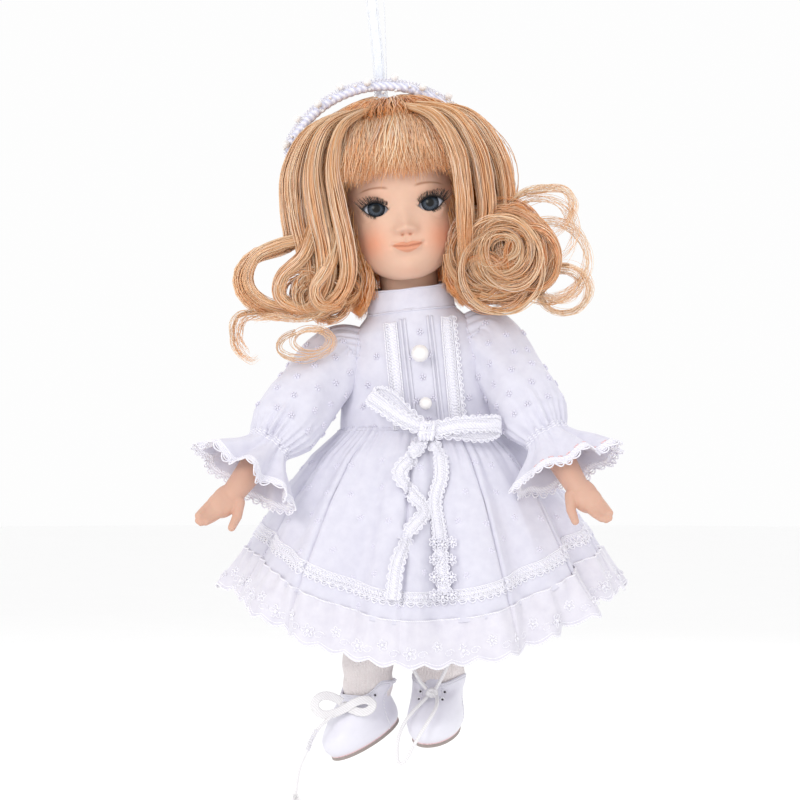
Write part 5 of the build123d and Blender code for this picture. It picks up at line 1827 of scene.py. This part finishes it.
def make_shoe(side):
    """A low leatherette boot on its last: toe, vamp and quarters, with a folded top edge."""
    place, body = foot_place(side), f"{side}_leg"
    rings = [
        shoe_ring(6.3, 12.4, -6.3, -9.9),
        shoe_ring(7.2, 13.3, -6.35, -9.3),
        shoe_ring(7.95, 14.0, -6.6, -7.2),
        shoe_ring(8.0, 13.6, -6.4, -4.4),
        shoe_ring(7.6, 11.9, -5.0, -1.7),
        shoe_ring(7.5, 10.3, -2.7, 0.6),
        0.5 * (shoe_ring(7.7, 9.1, -1.2, 2.4) + shoe_opening(side, 7.9, 2.6)),
        shoe_opening(side, 8.0, 5.0),
        shoe_opening(side, 7.75, 5.35),
        shoe_opening(side, 7.4, 4.4),
    ]
    keys = np.array(rings)
    rows = 90
    t = np.linspace(0, len(keys) - 1, rows)
    skin = between_rows(keys, t)
    q = around(SHOE_COLS)
    crease = 0.16 * np.sin(26 * t / len(keys) + 1) * np.exp(-(((t - 4.4) / 0.9) ** 2))
    skin[..., 2] += crease[:, None] * np.clip(np.cos(q), 0, 1)[None]
    low = step(1.6, 0.5, t)[:, None, None] * np.ones((1, SHOE_COLS, 1))
    tint = np.array([0.83, 0.82, 0.90]) * (1 - 0.35 * low) + np.array([0.80, 0.62, 0.60]) * 0.35 * low
    make(f"{side}_boot", wrapped(skin), LEATHER, body, place,
         tint.reshape(-1, 3), [f"{side}_shoe"], thick=0.5)
    seams = []
    for col in (SHOE_COLS // 2 - 34, SHOE_COLS // 2 + 34):
        row = np.arange(8, 68)
        line = skin[row, col] + unit(skin[row, col] - np.array([0, -4, -3])) * 0.12
        seams.append(rod(line, 0.16))
    for at in (66, 69):
        ring = np.vstack([skin[at], skin[at][:1]])
        ring = ring + unit(ring) * 0.10
        seams.append(rod(ring, 0.13))
    rim = np.vstack([skin[5], skin[5][:1]])
    welt = rod(rim, 0.24, 6)
    make(f"{side}_sole_welt", welt, PINK, body, place, None, [])
    make(f"{side}_boot_seams", join(*seams), STITCH, body, place, None, [])
    eyelets, cores = [], []
    ring = np.linspace(0, 2 * math.pi, 25)
    inset = {"left": 14, "right": 36}[side]
    for col in (inset, SHOE_COLS - inset):
        for at in (52, 60):
            p = skin[at, col]
            out = unit(p - np.array([0, 0.5, -2.5]))
            right = unit(skin[at, (col + 2) % SHOE_COLS] - skin[at, col - 2])
            up = np.cross(out, right)
            loop = p + out * 0.12 + right * (0.72 * np.cos(ring))[:, None]
            loop = loop + up * (0.72 * np.sin(ring))[:, None]
            eyelets.append(rod(loop, 0.2, 8))
            cores.append(p + out * 0.02)
    make(f"{side}_eyelet_rims", join(*eyelets), STITCH, body, place, None, [])
    # painted shadow: small dark balls stand for the shade inside each eyelet
    hole_shadows = balls(np.array(cores), (0.36, 0.3, 0.36), None, 8, 12)
    make(f"{side}_eyelet_hole_shadows", hole_shadows, SHADOW, body, place, None, [])
    x = np.linspace(-1, 1, 25)
    y = np.linspace(0, 1, 34)[:, None]
    rise = {"left": 6.2, "right": 1.9}[side]
    height = 0.5 + rise * y**1.25 - 0.55 * x**2
    across = 2.9 * x * (1 - 0.25 * y**3) + 0 * y
    back = -12.4 + 6.6 * y * (rise / 6.2) ** 0.4 + 0.55 * x**2
    tongue = np.stack([across, back, height], -1)
    make(f"{side}_padded_tongue", (tongue.reshape(-1, 3), [sheet_faces(34, 25)]), LEATHER, body, place,
         np.tile([0.80, 0.79, 0.87], (34 * 25, 1)), [f"{side}_shoe_tongue"], thick=0.7)


LACE_ROUTES = {
    "left_lace_lower_loop": [(14.8, -11.6, -212.6), (11.8, -14.4, -215.2), (8.2, -16.8, -219.2),
                             (6.0, -18.6, -224.4),
                             (6.0, -19.6, -231.2), (8.2, -20.2, -231.2), (12.0, -22.0, -223.6),
                             (15.8, -20.4, -217.8),
                             (18.2, -15.4, -214.0), (17.8, -11.8, -212.4)],
    "left_lace_upper_loop": [(14.8, -10.6, -210.2), (11.4, -10.0, -206.4), (9.2, -9.6, -199.4),
                             (10.8, -9.4, -192.6),
                             (15.6, -9.4, -189.6), (20.8, -9.4, -192.2), (22.6, -9.6, -199.6),
                             (19.6, -10.0, -206.6),
                             (17.4, -10.6, -210.2)],
    "right_lace_bow": [(-10.6, -9.6, -214.4), (-13.4, -10.6, -212.4), (-16.6, -11.6, -212.4),
                       (-18.6, -12.2, -214.8),
                       (-16.6, -12.0, -217.4), (-12.8, -11.0, -217.2), (-9.2, -10.4, -215.4),
                       (-5.6, -10.8, -213.2),
                       (-2.4, -11.0, -212.8), (-0.4, -11.2, -214.8), (-2.2, -11.4, -217.2),
                       (-5.6, -11.2, -217.4),
                       (-8.4, -10.2, -216.2)],
    "right_lace_end": [(-9.8, -9.6, -216.0), (-14.0, -12.4, -218.4), (-18.4, -13.6, -222.6),
                       (-20.6, -14.0, -228.2),
                       (-23.4, -13.8, -233.6), (-24.0, -13.4, -241.0)],
}
LACE_KNOTS = {"left": (16.3, -10.9, -211.3), "right": (-9.4, -9.4, -215.6)}


def make_lace(name, route):
    """A free cord: the route's points steer one smooth line."""
    side = name.split("_")[0]
    cord = smooth_curve(name + "_cord", route, 0.55, CORD)
    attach(cord, f"{side}_leg")
    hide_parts(name)


def make_lace_knot(side):
    """An overhand bow knot: strands wound over each other."""
    centre, parts = np.array(LACE_KNOTS[side]), []
    a = np.linspace(0, 2 * math.pi, 60)
    for k, (tilt, spin) in enumerate(((20, 10), (75, -30), (-50, 40))):
        r = 1.35 + 0.12 * np.cos(3 * a + k)
        ring = np.stack([r * np.cos(a), 0.8 * r * np.sin(a), 0.35 * np.sin(2 * a)], 1)
        ring = ring @ (turn_z(spin) @ turn_x(tilt)).T + centre
        parts.append(rod(ring, 0.53, 10))
    parts.append(ball(centre, (1.2, 0.9, 1.1)))
    make(f"{side}_lace_bow_knot", join(*parts), CORD, f"{side}_leg", WORLD, None, [f"{side}_lace_knot"])


def make_flat_bow():
    """The doll's right lace is a hollow braid: tied, it lies flat in broad loops."""
    line = even(curve_line(LACE_ROUTES["right_lace_bow"]), 260)
    along = unit(np.gradient(line, axis=0))
    across = unit(np.cross(along, np.array([0.0, -1.0, 0.25])))
    swell = 1 + 0.10 * np.sin(np.linspace(0, 40, 260))[:, None]
    loops = tape(line + across * 0.35 * swell + (0, -0.25, 0), across, 2.5, 0.55, 7, rise=-0.2)
    make("right_lace_flat_loops", loops, CORD, "right_leg", WORLD, None, [])


def make_frayed_ends():
    """Loose fibres at the long end, and the thread whipped round it where it leaves the shoe."""
    r = np.random.default_rng(17)
    lines = []
    for _ in range(26):
        root = np.array([-24.0, -13.4, -240.4]) + r.normal(0, 0.22, 3)
        spread = r.normal(0, 0.8, 3) * (1, 0.6, 0.3)
        tip = root + (spread[0], spread[1], -2.2 - 0.9 * r.random())
        lines.append(spline([root, (root + tip) / 2 + r.normal(0, 0.2, 3), tip], 8))
    shape = tube_mesh(np.array(lines), np.full((len(lines), 8), 0.085), 4)
    make("right_lace_frayed_tip", shape, CORD, "right_leg", WORLD, None, [])
    t = np.linspace(0, 1, 260)
    core = spline([(-17.6, -13.3, -221.7), (-19.4, -13.9, -224.9), (-20.5, -14.0, -228.0)], 260)
    turns = 2 * math.pi * 9 * t
    coil = core + np.stack([0.72 * np.cos(turns), 0.72 * np.sin(turns), 0.15 * np.sin(turns * 2)], 1)
    make("right_lace_whipping", rod(coil, 0.2, 6), STITCH, "right_leg", WORLD, None, [])


for leg_side in SIDES:
    make_sock(leg_side)
    make_shoe(leg_side)
    make_lace_knot(leg_side)
for lace_name, lace_route in LACE_ROUTES.items():
    make_lace(lace_name, lace_route)
make_flat_bow()
make_frayed_ends()


# ---------------------------------------------------------------- CAD pieces that stay, with better materials


def wear(names, look):
    for name in names:
        for slot in frame["nodes"][name].material_slots:
            slot.material = look


wear(["pearl_buttons"], PEARL)
wear(["torso", "left_upper_leg", "right_upper_leg", "left_upper_arm", "right_upper_arm"], CALICO)
wear(["left_lower_leg", "right_lower_leg"], BISQUE_PLAIN)
wear(["crown_pate", "wig_cap"], NET)
wear(["left_sole", "right_sole"], BOARD)


# ---------------------------------------------------------------- camera, light and floor

CAMERA_AT = (6.9, -900.0, -124.5)
FIELD_WIDTH = 240.0
FLOOR_Z = -262.0


def look_at(thing, target):
    direction = np.array(target, float) - np.array(thing.location) / MM
    thing.rotation_euler = Vector(direction).to_track_quat("-Z", "Y").to_euler()


def area_light(name, at, target, size, power, colour=(1, 1, 1)):
    data = bpy.data.lights.new(name, "AREA")
    data.shape, data.size, data.energy, data.color = "DISK", size * MM, power, colour
    light = bpy.data.objects.new(name, data)
    light.location = [x * MM for x in at]
    bpy.context.scene.collection.objects.link(light)
    look_at(light, target)


def set_stage():
    scene = bpy.context.scene
    scene.view_settings.view_transform = "Standard"
    data = bpy.data.cameras.new("camera")
    data.sensor_width = 36.0
    data.lens = 36.0 * -CAMERA_AT[1] / FIELD_WIDTH
    data.clip_start, data.clip_end = 0.05, 20.0
    camera = bpy.data.objects.new("camera", data)
    camera.location = [x * MM for x in CAMERA_AT]
    camera.rotation_euler = (math.pi / 2, 0, 0)
    scene.collection.objects.link(camera)
    scene.camera = camera
    world = bpy.data.worlds.new("world")
    world.use_nodes = True
    world.node_tree.nodes["Background"].inputs["Color"].default_value = (1.0, 1.0, 1.0, 1)
    world.node_tree.nodes["Background"].inputs["Strength"].default_value = 0.985
    scene.world = world
    middle = (13.8, 0, -130)
    area_light("key", (-330, -620, 160), middle, 300, 1.35, (1.0, 0.985, 0.965))
    area_light("fill", (480, -520, 20), middle, 420, 0.3, (0.96, 0.97, 1.0))
    area_light("rim", (200, 520, 260), middle, 300, 0.7)
    floor, tree, shader = material("floor", (0.97, 0.97, 0.97), 0.95)
    grain = texture(tree, "ShaderNodeTexNoise", Scale=0.03)
    shade(tree, shader, grain.outputs["Fac"], (0.965, 0.965, 0.965), (0.98, 0.98, 0.98))
    a = around(96)
    rim = np.stack([np.cos(a) * 2400, np.sin(a) * 2400, np.full(96, FLOOR_Z)], 1)
    make("floor", (rim, [np.arange(96)[None]]), floor, None, smooth=False)


set_stage()
